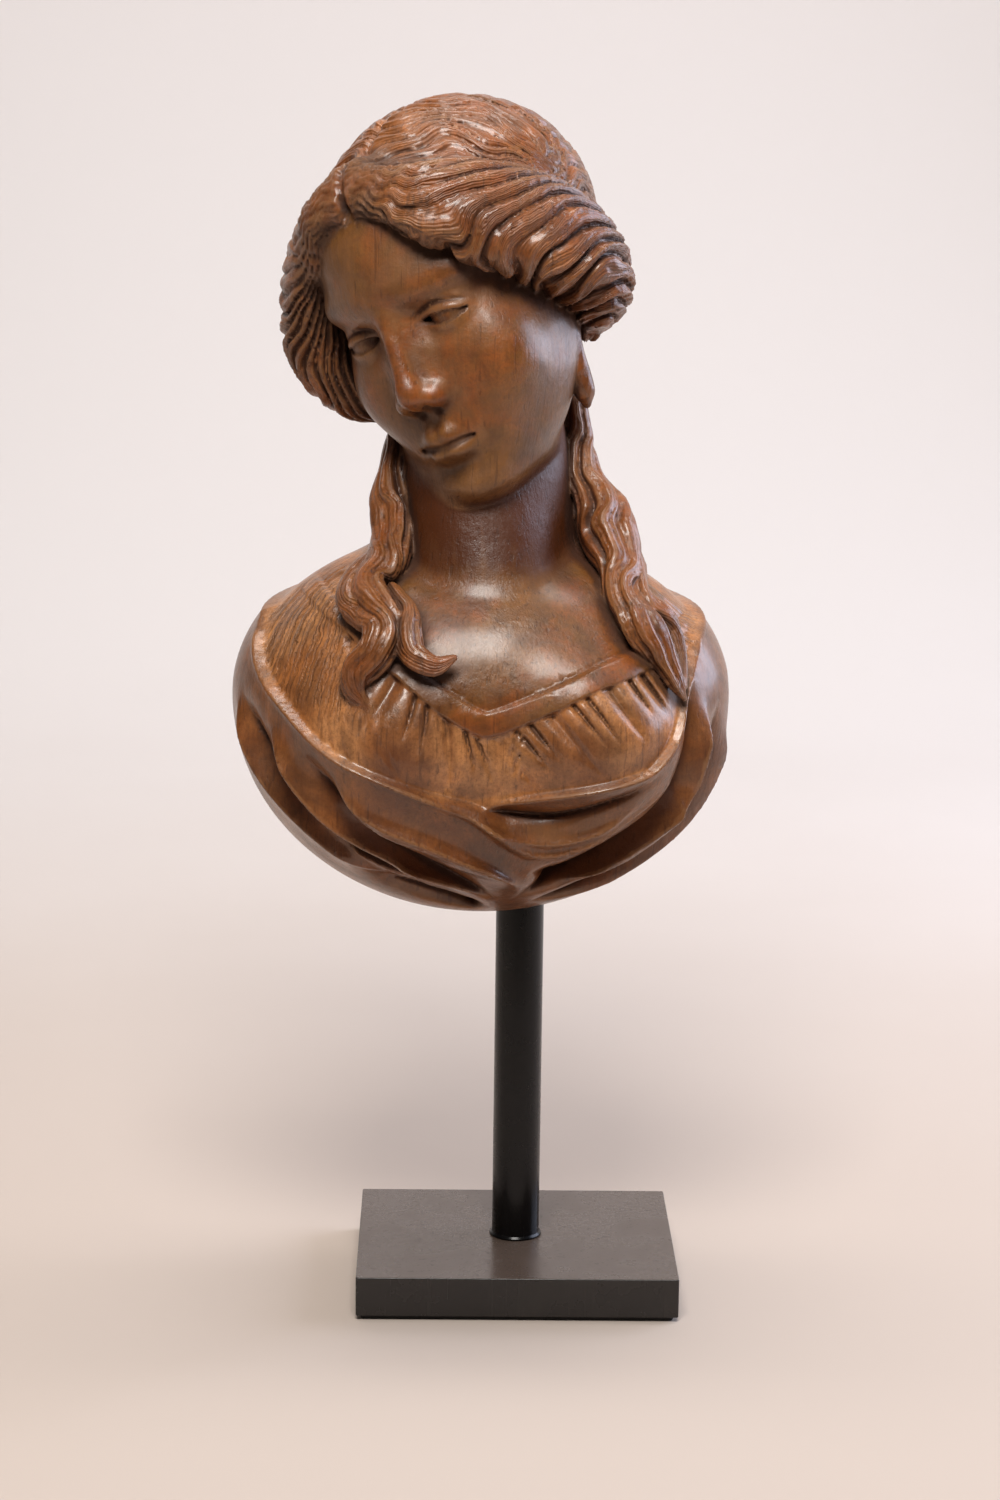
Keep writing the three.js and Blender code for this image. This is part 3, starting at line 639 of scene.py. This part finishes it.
def sampleForm(form, low, high, step, levels=2):
    # coarse everywhere, then twice as fine near the surface, and again
    spacing = step * 2 ** levels
    shape = tuple(np.ceil((np.array(high) - low) / spacing).astype(int) + 1)
    values = form(gridPoints(low, shape, spacing, np.arange(np.prod(shape))))
    values = values.astype(np.float32).reshape(shape)
    for _ in range(levels):
        spacing /= 2
        values = doubled(values)
        near = np.flatnonzero(np.abs(values) < spacing * 2.3)
        for part in np.array_split(near, max(1, len(near) // 150000)):
            values.ravel()[part] = form(gridPoints(low, values.shape, spacing, part))
    return values

def surfaceNets(values, low, step):
    # one vertex in every cell that the surface crosses, one quad for every crossed grid edge
    cells = tuple(np.array(values.shape) - 1)
    owner, point, quads = [], [], []
    for axis in range(3):
        a = np.take(values, range(values.shape[axis] - 1), axis)
        b = np.take(values, range(1, values.shape[axis]), axis)
        crossed = np.flatnonzero(((a < 0) != (b < 0)).ravel())
        at = np.stack(np.unravel_index(crossed, a.shape), 1)
        va, vb = a.ravel()[crossed], b.ravel()[crossed]
        place = at.astype(float)
        place[:, axis] += va / (va - vb)
        u, v = [k for k in range(3) if k != axis]
        around = []
        for du, dv in ((1, 1), (0, 1), (0, 0), (1, 0)):
            cell = at.copy()
            cell[:, u] -= du
            cell[:, v] -= dv
            around.append(np.ravel_multi_index(cell.T, cells))
        owner += around
        point += [place] * 4
        quad = np.stack(around, 1)
        flip = (va > 0) if axis != 1 else (va < 0)
        quad[flip] = quad[flip][:, ::-1]
        quads.append(quad)
    owner, point, quads = np.concatenate(owner), np.concatenate(point), np.concatenate(quads)
    used, number = np.unique(owner, return_inverse=True)
    count = np.bincount(number)
    middle = np.stack([np.bincount(number, point[:, k]) / count for k in range(3)], 1)
    return low + middle * step, np.searchsorted(used, quads)

def lookUp(values, low, step, p):
    # value of the sampled form at any place
    q = np.clip((p - low) / step, 0, np.array(values.shape) - 1.001)
    i = q.astype(int)
    f = q - i
    total = np.zeros(len(p))
    for dx in (0, 1):
        for dy in (0, 1):
            for dz in (0, 1):
                weight = np.abs(1 - dx - f[:, 0]) * np.abs(1 - dy - f[:, 1]) * np.abs(1 - dz - f[:, 2])
                total += weight * values[i[:, 0] + dx, i[:, 1] + dy, i[:, 2] + dz]
    return total

def slopeAt(values, low, step, p, reach=1.0):
    slope = np.zeros((len(p), 3))
    for k in range(3):
        offset = np.zeros(3)
        offset[k] = reach * step
        slope[:, k] = lookUp(values, low, step, p + offset) - lookUp(values, low, step, p - offset)
    return slope / (2 * reach * step)

def settle(values, low, step, p, times=2):
    # moves the vertices onto the surface
    for _ in range(times):
        slope = slopeAt(values, low, step, p, 0.5)
        away = lookUp(values, low, step, p) / ((slope ** 2).sum(1) + 0.05)
        p = p - slope * np.clip(away, -step / 2, step / 2)[:, None]
    return p

# bust
def newObject(name, data):
    holder = bpy.data.objects.new(name, data)
    bpy.context.scene.collection.objects.link(holder)
    return holder

def meshFromQuads(name, points, quads):
    mesh = bpy.data.meshes.new(name)
    mesh.vertices.add(len(points))
    mesh.vertices.foreach_set("co", (points / 1000).ravel())
    mesh.loops.add(quads.size)
    mesh.loops.foreach_set("vertex_index", quads.ravel())
    mesh.polygons.add(len(quads))
    mesh.polygons.foreach_set("loop_start", np.arange(len(quads)) * 4)
    mesh.update(calc_edges=True)
    return mesh

def thinOut(bust, ratio):
    # fewer triangles where the surface is plain
    bust.modifiers.new("thin out", "DECIMATE").ratio = min(1, ratio)
    bpy.context.view_layer.update()
    thinned = bpy.data.meshes.new_from_object(bust.evaluated_get(bpy.context.evaluated_depsgraph_get()))
    bust.modifiers.clear()
    bust.data = thinned
    keepOnePiece(thinned)
    return thinned

def growBust():
    low, high = [np.array(corner) * 1000 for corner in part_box("figurehead")]
    low, high, step = low - 5, high + 5, carving["grid"]
    values = sampleForm(bustForm, low, high, step)
    print("stage: form sampled", values.shape)
    points, quads = surfaceNets(values, low, step)
    points = settle(values, low, step, points)
    print("stage: surface drawn", len(points))
    bust = newObject("figurehead_carving", meshFromQuads("figurehead_carving", points, quads))
    mesh = thinOut(bust, carving["triangles"] / (2 * len(quads)))
    p = np.empty(len(mesh.vertices) * 3)
    mesh.vertices.foreach_get("co", p)
    p = settle(values, low, step, p.reshape(-1, 3) * 1000, 1)
    mesh.vertices.foreach_set("co", (p / 1000).ravel())
    mesh.shade_smooth()
    mesh.update()
    normals = unit(slopeAt(values, low, step, p, 0.8))
    mesh.normals_split_custom_set_from_vertices(normals)
    for name, mask in marksOn(p, normals, lambda q: lookUp(values, low, step, q)).items():
        mesh.attributes.new(name, "FLOAT", "POINT").data.foreach_set("value", mask.astype(np.float32))
    print("stage: bust done", len(mesh.polygons))
    return bust

def marksOn(p, normals, formAt):
    # what the finish needs to know at every vertex
    hollow = np.zeros(len(p))       # how deep a place lies between higher ones
    for reach, weight in ((2.5, 0.35), (5, 0.35), (10, 0.3)):
        hollow += weight * np.clip(1 - formAt(p + reach * normals) / reach, 0, 1)
    # painted shade: places shut in by the carving over a wide reach, such as under the chin, get a darker
    # colour
    paintedShade = np.zeros(len(p))    # the same over a wider reach
    for reach in (22, 40):
        for tilt in ((0, 0, 0), (0, -0.7, 0.2), (0, 0, 0.8)):
            ray = unit(normals + vec(*tilt))
            paintedShade += np.clip(1 - formAt(p + reach * ray) / (0.8 * reach), 0, 1) / 6
    edge = 1 - np.clip(formAt(p - 3 * normals) / -3, 0, 2)
    x, y, z = p.T
    azimuth, radius = roundTorso(p)
    hair = ramp(allHair(p), 1.6, 0.2)
    neckline = (z > edgeOf(bandFoot, x)) & (y < -20) & (np.abs(x + 5) < 90)
    skin = np.maximum(ramp(skinForm(p), 2.5, 0.5), neckline) * (1 - hair)
    dressed = (1 - hair) * (1 - skin)
    underHem = edgeOf(clothEdge, azimuth) - z
    pleated, pleats, _ = pleatPlace(azimuth, z, radius)
    strand = np.zeros(len(p))
    inHair = np.flatnonzero(hair > 0.02)
    strand[inHair] = strandCount(p[inHair])
    # painted shade: the front of the neck under the chin, where the chin's shadow falls
    throat = skin * ramp(z, 452, 476) * ramp(565 - z, 0, 40) * ramp(neckForm(p), 10, 2) * ramp(30 - y, 0, 40)
    return {
        "hollow": hollow, "paintedShade": paintedShade, "edge": edge, "hair": hair, "skin": skin, "strand": strand,
        # where the outer cloth gets its painted shade
        "outer": ramp(underHem, -1, 2) * dressed, "throat": throat,
        "pleated": pleated * ramp(-underHem, 1, 3) * dressed * ramp(-y, 0, 25) * ramp(z, 380, 400),
        "pleat": pleats,
    }

def keepOnePiece(mesh):
    # drops any loose crumb that is not joined to the bust
    edges = np.empty(len(mesh.edges) * 2, int)
    mesh.edges.foreach_get("vertices", edges)
    edges = edges.reshape(-1, 2)
    label = np.arange(len(mesh.vertices))
    while True:
        lowest = np.minimum(label[edges[:, 0]], label[edges[:, 1]])
        before = label.copy()
        np.minimum.at(label, edges[:, 0], lowest)
        np.minimum.at(label, edges[:, 1], lowest)
        label = label[label]
        if (label == before).all():
            break
    names, counts = np.unique(label, return_counts=True)
    crumbs = np.flatnonzero(label != names[counts.argmax()])
    if len(crumbs):
        bm = bmesh.new()
        bm.from_mesh(mesh)
        bm.verts.ensure_lookup_table()
        bmesh.ops.delete(bm, geom=[bm.verts[i] for i in crumbs], context="VERTS")
        bm.to_mesh(mesh)
        bm.free()
    print("stage: crumbs dropped", len(crumbs))

# materials
def newMaterial(name):
    # with the place on the object that its patterns are drawn from
    material = bpy.data.materials.new(name)
    material.use_nodes = True
    tree = material.node_tree
    place = add(tree, "ShaderNodeTexCoord").outputs["Object"]
    return material, tree, tree.nodes["Principled BSDF"], place

def add(tree, kind, **settings):
    node = tree.nodes.new(kind)
    for key, value in settings.items():
        setattr(node, key, value)
    return node

def fill(tree, node, values):
    # each input gets a wire from another node, or a plain number or colour
    for name, value in values.items():
        if isinstance(value, bpy.types.NodeSocket):
            tree.links.new(value, node.inputs[name])
        else:
            node.inputs[name].default_value = value

def wire(tree, pairs):
    for source, target in pairs:
        tree.links.new(source, target)

def calc(tree, operation, a, b=None, clamp=False):
    node = add(tree, "ShaderNodeMath", operation=operation, use_clamp=clamp)
    fill(tree, node, {0: a} if b is None else {0: a, 1: b})
    return node.outputs[0]

def times(tree, a, b):
    return calc(tree, "MULTIPLY", a, b)

def plus(tree, a, b, clamp=False):
    return calc(tree, "ADD", a, b, clamp)

def spread(tree, value, low, high, toLow=0.0, toHigh=1.0):
    node = add(tree, "ShaderNodeMapRange", interpolation_type="SMOOTHSTEP")
    fill(tree, node, {"Value": value, "From Min": low, "From Max": high, "To Min": toLow, "To Max": toHigh})
    return node.outputs["Result"]

def tint(tree, factor, first, second, blend="MIX"):
    node = add(tree, "ShaderNodeMix", data_type="RGBA", blend_type=blend)
    first, second = [(*value, 1) if isinstance(value, tuple) else value for value in (first, second)]
    fill(tree, node, {0: factor, 6: first, 7: second})
    return node.outputs[2]

def noise(tree, place, scale, detail=4.0, roughness=0.55, distortion=0.0):
    node = add(tree, "ShaderNodeTexNoise")
    fill(tree, node, {"Vector": place, "Scale": scale, "Detail": detail, "Roughness": roughness,
                      "Distortion": distortion})
    return node.outputs[0]

def stretched(tree, place, x, y, z):
    node = add(tree, "ShaderNodeMapping")
    fill(tree, node, {"Scale": (x, y, z), "Vector": place})
    return node.outputs[0]

def attribute(tree, name):
    return add(tree, "ShaderNodeAttribute", attribute_name=name).outputs["Fac"]

def newGroup(name, inputs, outputs):
    group = bpy.data.node_groups.new(name, "ShaderNodeTree")
    for label, kind, value in inputs:
        socket = group.interface.new_socket(label, in_out="INPUT", socket_type="NodeSocket" + kind)
        if value is not None:
            socket.default_value = value
    for label, kind in outputs:
        group.interface.new_socket(label, in_out="OUTPUT", socket_type="NodeSocket" + kind)
    start = group.nodes.new("NodeGroupInput").outputs
    end = group.nodes.new("NodeGroupOutput").inputs
    return group, start, end

def useGroup(tree, group, **values):
    node = add(tree, "ShaderNodeGroup")
    node.node_tree = group
    fill(tree, node, values)
    return node.outputs

def makeGrain():
    # upright wood grain: long fibres, short pores and slow bands
    group, start, end = newGroup("wood grain", [("Place", "Vector", None)],
                                 [("Fibre", "Float"), ("Pores", "Float"), ("Bands", "Float")])
    fibre = noise(group, stretched(group, start["Place"], 1, 1, 0.05), 420, 5, 0.6)
    pores = noise(group, stretched(group, start["Place"], 1, 1, 0.10), 900, 2, 0.5)
    bands = noise(group, stretched(group, start["Place"], 1, 1, 0.22), 38, 4, 0.6, 0.4)
    pores = spread(group, pores, 0.60, 0.72)
    wire(group, [(fibre, end["Fibre"]), (pores, end["Pores"]), (bands, end["Bands"])])
    return group

def makeDust():
    # soft uneven film, more of it in the hollows; on the wood the hollow part is dirt and painted shade
    # together
    group, start, end = newGroup("settled dirt", [("Place", "Vector", None), ("Hollow", "Float", 0.0)],
                                 [("Mask", "Float")])
    patch = noise(group, start["Place"], 55, 5, 0.6)
    patchy = times(group, calc(group, "SUBTRACT", patch, 0.5), 0.45)
    wire(group, [(spread(group, plus(group, start["Hollow"], patchy), 0.12, 0.55), end["Mask"])])
    return group

def makeScratches():
    # fine straight scratches and tool marks in a few directions
    group, start, end = newGroup("fine scratches", [("Place", "Vector", None)], [("Mask", "Float")])
    total = None
    for turn, scale in ((0.25, 300), (-0.5, 380), (1.2, 260)):
        turned = add(group, "ShaderNodeMapping")
        fill(group, turned, {"Rotation": (turn, turn * 0.7, turn), "Scale": (1, 1, 0.018),
                             "Vector": start["Place"]})
        line = spread(group, noise(group, turned.outputs[0], scale, 1, 0.4), 0.69, 0.74)
        total = line if total is None else calc(group, "MAXIMUM", total, line)
    wire(group, [(total, end["Mask"])])
    return group

grain, dust, scratches = makeGrain(), makeDust(), makeScratches()

def bumped(tree, shader, layers):
    # layers: (height, strength, distance in metres), each on top of the one before
    normal = None
    for height, strength, distance in layers:
        node = add(tree, "ShaderNodeBump")
        fill(tree, node, {"Strength": strength, "Distance": distance, "Height": height})
        if normal:
            fill(tree, node, {"Normal": normal})
        normal = node.outputs["Normal"]
    fill(tree, shader, {"Normal": normal})

def makeWood():
    look = {
        "skin": (0.190, 0.078, 0.018), "skinRed": (0.27, 0.072, 0.012),
        "cloth": (0.38, 0.138, 0.036), "clothPale": (0.53, 0.240, 0.090),
        # painted shade: the outer cloth colours are dark for the shade on the lower drapery, the throat
        # colour for the shadow under the chin
        "outer": (0.150, 0.042, 0.008), "outerPale": (0.215, 0.072, 0.016), "throat": (0.075, 0.018, 0.0035),
        "hair": (0.24, 0.066, 0.013), "hairPale": (0.31, 0.108, 0.028),
        "deep": (0.040, 0.0125, 0.0042), "worn": (0.30, 0.140, 0.056),
        "paintedShade": (0.105, 0.026, 0.006), "mottle": (0.115, 0.040, 0.012),
        "roughness": (0.34, 0.56), "varnish": 0.58, "varnishRoughness": 0.21,
        "varnishIndex": 1.48, "varnishTint": (1.0, 0.93, 0.83),
    }
    material, tree, shader, place = newMaterial("varnished_wood_old")
    hollow, edge = attribute(tree, "hollow"), attribute(tree, "edge")
    skin, hair = attribute(tree, "skin"), attribute(tree, "hair")
    woody = useGroup(tree, grain, Place=place)
    patch = noise(tree, place, 16, 6, 0.62, 0.3)
    mottle = noise(tree, place, 70, 5, 0.6)
    slow = spread(tree, patch, 0.38, 0.64)
    cloth = tint(tree, slow, look["cloth"], look["clothPale"])
    bodyTone = tint(tree, hair, cloth, tint(tree, slow, look["hair"], look["hairPale"]))
    # painted shade: the outer cloth, whose lower folds face down, is coloured darker than the shift
    bodyTone = tint(tree, times(tree, attribute(tree, "outer"), 0.9), bodyTone,
                    tint(tree, slow, look["outer"], look["outerPale"]))
    skinTone = tint(tree, spread(tree, patch, 0.47, 0.66), look["skin"], look["skinRed"])
    tone = tint(tree, skin, bodyTone, skinTone)
    tone = tint(tree, spread(tree, mottle, 0.35, 0.7, 0.0, 0.5), tone, look["mottle"])
    speckle = noise(tree, place, 520, 3, 0.7)
    tone = tint(tree, spread(tree, speckle, 0.42, 0.75, 0.0, 0.5), tone, look["mottle"])
    streaks = spread(tree, woody["Fibre"], 0.35, 0.7, 0.90, 1.09)
    bands = spread(tree, woody["Bands"], 0.3, 0.7, 0.87, 1.13)
    blots = spread(tree, noise(tree, place, 34, 7, 0.7, 0.6), 0.32, 0.68, 0.72, 1.22)
    shade = times(tree, times(tree, streaks, bands), blots)
    grey = add(tree, "ShaderNodeCombineColor")
    fill(tree, grey, {0: shade, 1: shade, 2: shade})
    tone = tint(tree, 1.0, tone, grey.outputs[0], "MULTIPLY")
    pores = times(tree, woody["Pores"], spread(tree, skin, 0, 1, 0.32, 0.1))
    tone = tint(tree, pores, tone, look["deep"])
    # painted shadow of the chin: the front of the neck is coloured darker and redder
    tone = tint(tree, times(tree, attribute(tree, "throat"), 0.95), tone, look["throat"])
    # painted shade: colour goes darker where the carving shuts in a place over a wide reach
    shade = spread(tree, attribute(tree, "paintedShade"), 0.32, 0.85)
    tone = tint(tree, times(tree, shade, 0.75), tone, look["paintedShade"])
    rubbed = times(tree, spread(tree, edge, 0.06, 0.30), spread(tree, mottle, 0.35, 0.6, 0.2, 0.6))
    tone = tint(tree, rubbed, tone, look["worn"])
    # dirt and painted shade: hollows between higher places go darker, rougher and less varnished
    dirtAndShade = useGroup(tree, dust, Place=place, Hollow=hollow)["Mask"]
    tone = tint(tree, times(tree, dirtAndShade, 0.76), tone, look["deep"])
    scratched = useGroup(tree, scratches, Place=place)["Mask"]
    tone = tint(tree, times(tree, scratched, 0.35), tone, look["deep"])
    # painted shade: dark lines along the fine pleat grooves, also sunk by the bump below
    pleated = attribute(tree, "pleated")
    turns = plus(tree, attribute(tree, "pleat"), times(tree, mottle, 1.2))
    pleatShadeLines = [spread(tree, calc(tree, "SINE", times(tree, turns, turn)), 0.55, 1.0)
             for turn in (fullTurn, 9.7)]
    pleatShadeLines = times(tree, calc(tree, "MAXIMUM", pleatShadeLines[0], pleatShadeLines[1]), pleated)
    pleatShadeLines = times(tree, pleatShadeLines, spread(tree, patch, 0.35, 0.6, 0.35, 1.0))
    tone = tint(tree, times(tree, pleatShadeLines, 0.4), tone, look["deep"])
    rough = spread(tree, noise(tree, place, 30, 5, 0.65), 0.3, 0.72, *look["roughness"])
    rough = plus(tree, rough, times(tree, dirtAndShade, 0.25), True)
    bare = plus(tree, times(tree, dirtAndShade, 0.45), times(tree, skin, 0.2))
    bare = plus(tree, bare, times(tree, attribute(tree, "throat"), 0.5))
    thick = calc(tree, "SUBTRACT", look["varnish"], bare, True)
    fill(tree, shader, {
        "Base Color": tone, "Roughness": rough, "Coat Weight": thick, "Coat IOR": look["varnishIndex"],
        "Coat Roughness": look["varnishRoughness"], "Coat Tint": (*look["varnishTint"], 1)})
    # fine strands of the hair, two sets
    count = attribute(tree, "strand")
    shift = times(tree, mottle, 5.0)
    waves = [calc(tree, "SINE", plus(tree, times(tree, count, turn), shift))
             for turn in (fullTurn, 13.9)]
    threads = times(tree, plus(tree, waves[0], waves[1]), hair)
    bumped(tree, shader, [
        (noise(tree, place, 22, 2, 0.5), 0.5, 0.004),
        (threads, 0.5, 0.0004),
        (calc(tree, "SUBTRACT", 1.0, pleatShadeLines), 0.7, 0.0018),
        (noise(tree, place, 150, 4, 0.6), 0.38, 0.0012),
        (speckle, 0.4, 0.0005),
        (woody["Fibre"], 0.5, 0.0006),
        (calc(tree, "SUBTRACT", 1.0, scratched), 0.35, 0.0003),
        (calc(tree, "SUBTRACT", 1.0, woody["Pores"]), 0.25, 0.0003)])
    return material

def makePaint(name, look):
    material, tree, shader, place = newMaterial(name)
    patch = noise(tree, place, 24, 5, 0.6)
    scratched = useGroup(tree, scratches, Place=place)["Mask"]
    film = useGroup(tree, dust, Place=place, Hollow=0.12)["Mask"]
    tone = tint(tree, spread(tree, patch, 0.45, 0.75, 0, 0.5), look["colour"], look["rubbed"])
    split = add(tree, "ShaderNodeSeparateXYZ")
    fill(tree, split, {0: add(tree, "ShaderNodeNewGeometry").outputs["Normal"]})
    # dust and a painted pale reflection on upward faces: the top is lighter than the sides
    lying = spread(tree, split.outputs[2], 0.7, 1.0, 0.0, look["dustAndSheenAmount"])
    tone = tint(tree, times(tree, spread(tree, film, 0, 1, 0.55, 1), lying), tone, look["dust"])
    tone = tint(tree, times(tree, scratched, 0.3), tone, look["rubbed"])
    rough = spread(tree, patch, 0.3, 0.7, *look["roughness"])
    rough = plus(tree, rough, times(tree, scratched, 0.1))
    fill(tree, shader, {"Base Color": tone, "Roughness": rough, "Specular IOR Level": look["gloss"]})
    bumped(tree, shader, [(noise(tree, place, 260, 3, 0.5), 0.12, 0.0004), (scratched, 0.15, 0.0001)])
    return material

def makeFelt(look):
    material, tree, shader, place = newMaterial("dark_felt_worn")
    fibres = noise(tree, place, 1400, 3, 0.7, 1.5)
    film = useGroup(tree, dust, Place=place, Hollow=0.2)["Mask"]
    tone = tint(tree, fibres, look["colour"], look["pale"])
    tone = tint(tree, times(tree, film, 0.3), tone, look["dust"])
    rough = spread(tree, fibres, 0.3, 0.7, *look["roughness"])
    fill(tree, shader, {"Base Color": tone, "Roughness": rough})
    bumped(tree, shader, [(fibres, 0.5, 0.0005)])
    return material

rodPaint = {"colour": (0.0028, 0.0024, 0.0026), "rubbed": (0.009, 0.007, 0.006), "roughness": (0.20, 0.32),
            "dust": (0.15, 0.115, 0.095), "dustAndSheenAmount": 0.1, "gloss": 0.28}
# the foot's dust colour on its top also serves as a painted reflection of the pale wall
footPaint = {"colour": (0.018, 0.015, 0.0135), "rubbed": (0.032, 0.027, 0.024), "roughness": (0.20, 0.34),
             "dust": (0.21, 0.145, 0.11), "dustAndSheenAmount": 0.62, "gloss": 0.45}
padFelt = {"colour": (0.010, 0.009, 0.010), "pale": (0.030, 0.028, 0.027), "roughness": (0.85, 1.0),
           "dust": (0.07, 0.065, 0.06)}
woodLook, feltLook = makeWood(), makeFelt(padFelt)
rodLook, footLook = makePaint("black_paint_rod", rodPaint), makePaint("black_paint_foot", footPaint)
print("stage: materials made")

# stand
stand = {
    "foot": (0.200, 0.165), "footLow": 0.003, "footHigh": 0.028, "chamfer": 0.0008, "footCorner": 0.0012,
    "rod": 0.015, "rodHigh": 0.282, "collar": 0.0166, "collarHigh": 0.0022, "gap": 0.0003, "padInset": 0.003,
}

def meshObject(name, points, faces, material):
    mesh = bpy.data.meshes.new(name)
    mesh.from_pydata([tuple(p) for p in points], [], faces)
    mesh.update()
    mesh.shade_smooth()
    mesh.materials.append(material)
    return newObject(name, mesh)

def rounded(name, width, depth, low, high, rim, corner, material):
    # a slab from rings of points: flat underside, rounded edges and corners, flat top
    profile = [(rim, low)]
    profile += [(rim * (1 - math.sin(a)), low + rim * (1 - math.cos(a))) for a in np.linspace(0.2, 1.5708, 5)]
    profile += [(inset, low + high - z) for inset, z in profile[::-1]]
    points, count = [], 20
    for inset, z in profile:
        for k, (sx, sy) in enumerate(((1, 1), (-1, 1), (-1, -1), (1, -1))):
            for a in np.linspace(0, math.pi / 2, 5) + k * math.pi / 2:
                r = max(corner - inset, 0.0001)
                x = sx * (width / 2 - corner) + r * math.cos(a)
                points.append((x, sy * (depth / 2 - corner) + r * math.sin(a), z))
    return closedRings(name, points, count, material)

def turned(name, profile, material, sides=96):
    points = [(r * math.cos(2 * math.pi * k / sides), r * math.sin(2 * math.pi * k / sides), z)
              for r, z in profile for k in range(sides)]
    return closedRings(name, points, sides, material)

def closedRings(name, points, count, material):
    # rings of points joined one above the other and closed at both ends
    faces = [(i + j, i + (j + 1) % count, i + count + (j + 1) % count, i + count + j)
             for i in range(0, len(points) - count, count) for j in range(count)]
    faces += [tuple(range(count))[::-1], tuple(range(len(points) - count, len(points)))]
    piece = meshObject(name, points, faces, material)
    # keeps flat faces flat beside the rounded edges
    piece.modifiers.new("flat faces", "WEIGHTED_NORMAL").keep_sharp = True
    return piece

foot = rounded("stand_slab", *stand["foot"], stand["footLow"], stand["footHigh"], stand["chamfer"],
               stand["footCorner"], footLook)
rodFoot = stand["footHigh"] + stand["gap"]
collar, rodRadius = stand["collar"], stand["rod"]
rod = turned("stand_rod_round", [
    (collar - 0.0006, rodFoot), (collar, rodFoot + 0.0005), (collar - 0.0002, rodFoot + 0.0010),
    (rodRadius + 0.0004, rodFoot + stand["collarHigh"] - 0.0004),
    (rodRadius, rodFoot + stand["collarHigh"] + 0.0004),
    (rodRadius, stand["rodHigh"] - 0.0008), (rodRadius - 0.0008, stand["rodHigh"])], rodLook)
inset = stand["padInset"]
pad = rounded("stand_felt", stand["foot"][0] - 2 * inset, stand["foot"][1] - 2 * inset, 0.0,
              stand["footLow"] - stand["gap"], 0.0006, 0.003, feltLook)

bust = growBust()
bust.data.materials.append(woodLook)
for piece, node, finish in ((bust, "figurehead", "varnished_wood"), (rod, "stand_rod", "black_paint"),
                            (foot, "stand_base", "black_paint"), (pad, "stand_pad", "dark_felt")):
    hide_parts(node)
    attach(piece, "root")

# floor, light and camera
setting = {
    "wall": (0.80, 0.755, 0.735), "floor": (0.56, 0.475, 0.415),
    "key": 46, "fill": 1.5, "cool": 32, "wallLight": 78, "room": 0.06,    # light in watts
    "roomColour": (0.86, 0.80, 0.77),
    "lens": 79.7, "viewFrom": (-0.0467, -2.0218, 0.7658), "viewTurn": (78.219, -0.744, -0.775),
}

def makeFloor():
    # a pale floor that curves up into a wall behind
    rows = [(-0.85, 0.0), (-0.3, 0.0), (0.3, 0.0), (1.0, 0.0)]
    rows += [(1.6 + 0.9 * math.sin(a), 0.9 * (1 - math.cos(a))) for a in np.linspace(0, math.pi / 2, 24)]
    rows.append((2.5, 5.0))
    points = [(x, y, z) for y, z in rows for x in (-5.0, 5.0)]
    faces = [(2 * i, 2 * i + 1, 2 * i + 3, 2 * i + 2) for i in range(len(rows) - 1)]
    material, tree, shader, place = newMaterial("floor_plain")
    split = add(tree, "ShaderNodeSeparateXYZ")
    fill(tree, split, {0: place})
    soft = times(tree, noise(tree, place, 2.5, 3, 0.5), 0.3)
    back = spread(tree, plus(tree, split.outputs[1], soft), 0.2, 2.2)
    tone = tint(tree, back, setting["floor"], setting["wall"])
    fill(tree, shader, {"Base Color": tone, "Roughness": 0.9, "Specular IOR Level": 0.2})
    return meshObject("floor", points, faces, material)

makeFloor()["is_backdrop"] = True

def areaLight(name, place, aim, size, power, colour):
    lamp = bpy.data.lights.new(name, "AREA")
    lamp.shape = "RECTANGLE"
    lamp.size, lamp.size_y = size
    lamp.energy = power
    lamp.color = colour
    holder = newObject(name, lamp)
    holder.location = place
    holder.rotation_euler = (Vector(aim) - Vector(place)).to_track_quat("-Z", "Y").to_euler()

areaLight("key", (-0.12, -1.35, 2.05), (-0.02, 0, 0.5), (0.9, 0.7), setting["key"], (1.0, 0.97, 0.93))
areaLight("fill", (-2.2, -1.6, 1.0), (0, 0, 0.5), (1.6, 1.8), setting["fill"], (1.0, 0.93, 0.86))
areaLight("cool", (1.7, 0.55, 1.0), (0.0, 0, 0.55), (1.5, 1.3), setting["cool"], (0.70, 0.78, 1.0))
areaLight("wall", (0, 0.4, 3.4), (0, 2.2, 0.9), (3.0, 0.8), setting["wallLight"], (1.0, 0.96, 0.93))

world = bpy.data.worlds.new("room")
bpy.context.scene.world = world
world.use_nodes = True
fill(world.node_tree, world.node_tree.nodes["Background"],
     {"Color": (*setting["roomColour"], 1), "Strength": setting["room"]})

viewer = bpy.data.cameras.new("viewer")
viewer.sensor_width = 36
viewer.sensor_fit = "AUTO"
viewer.lens = setting["lens"]
viewer.clip_end = 30
camera = newObject("viewer", viewer)
camera.location = setting["viewFrom"]
camera.rotation_euler = Euler([math.radians(a) for a in setting["viewTurn"]])
bpy.context.scene.camera = camera
bpy.context.scene.view_settings.view_transform = "Standard"
print("stage: scene lit")

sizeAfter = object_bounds()
sizes = {"before": sizeBefore, "after": sizeAfter}
{when: [list(corner) for corner in size] for when, size in sizes.items()}
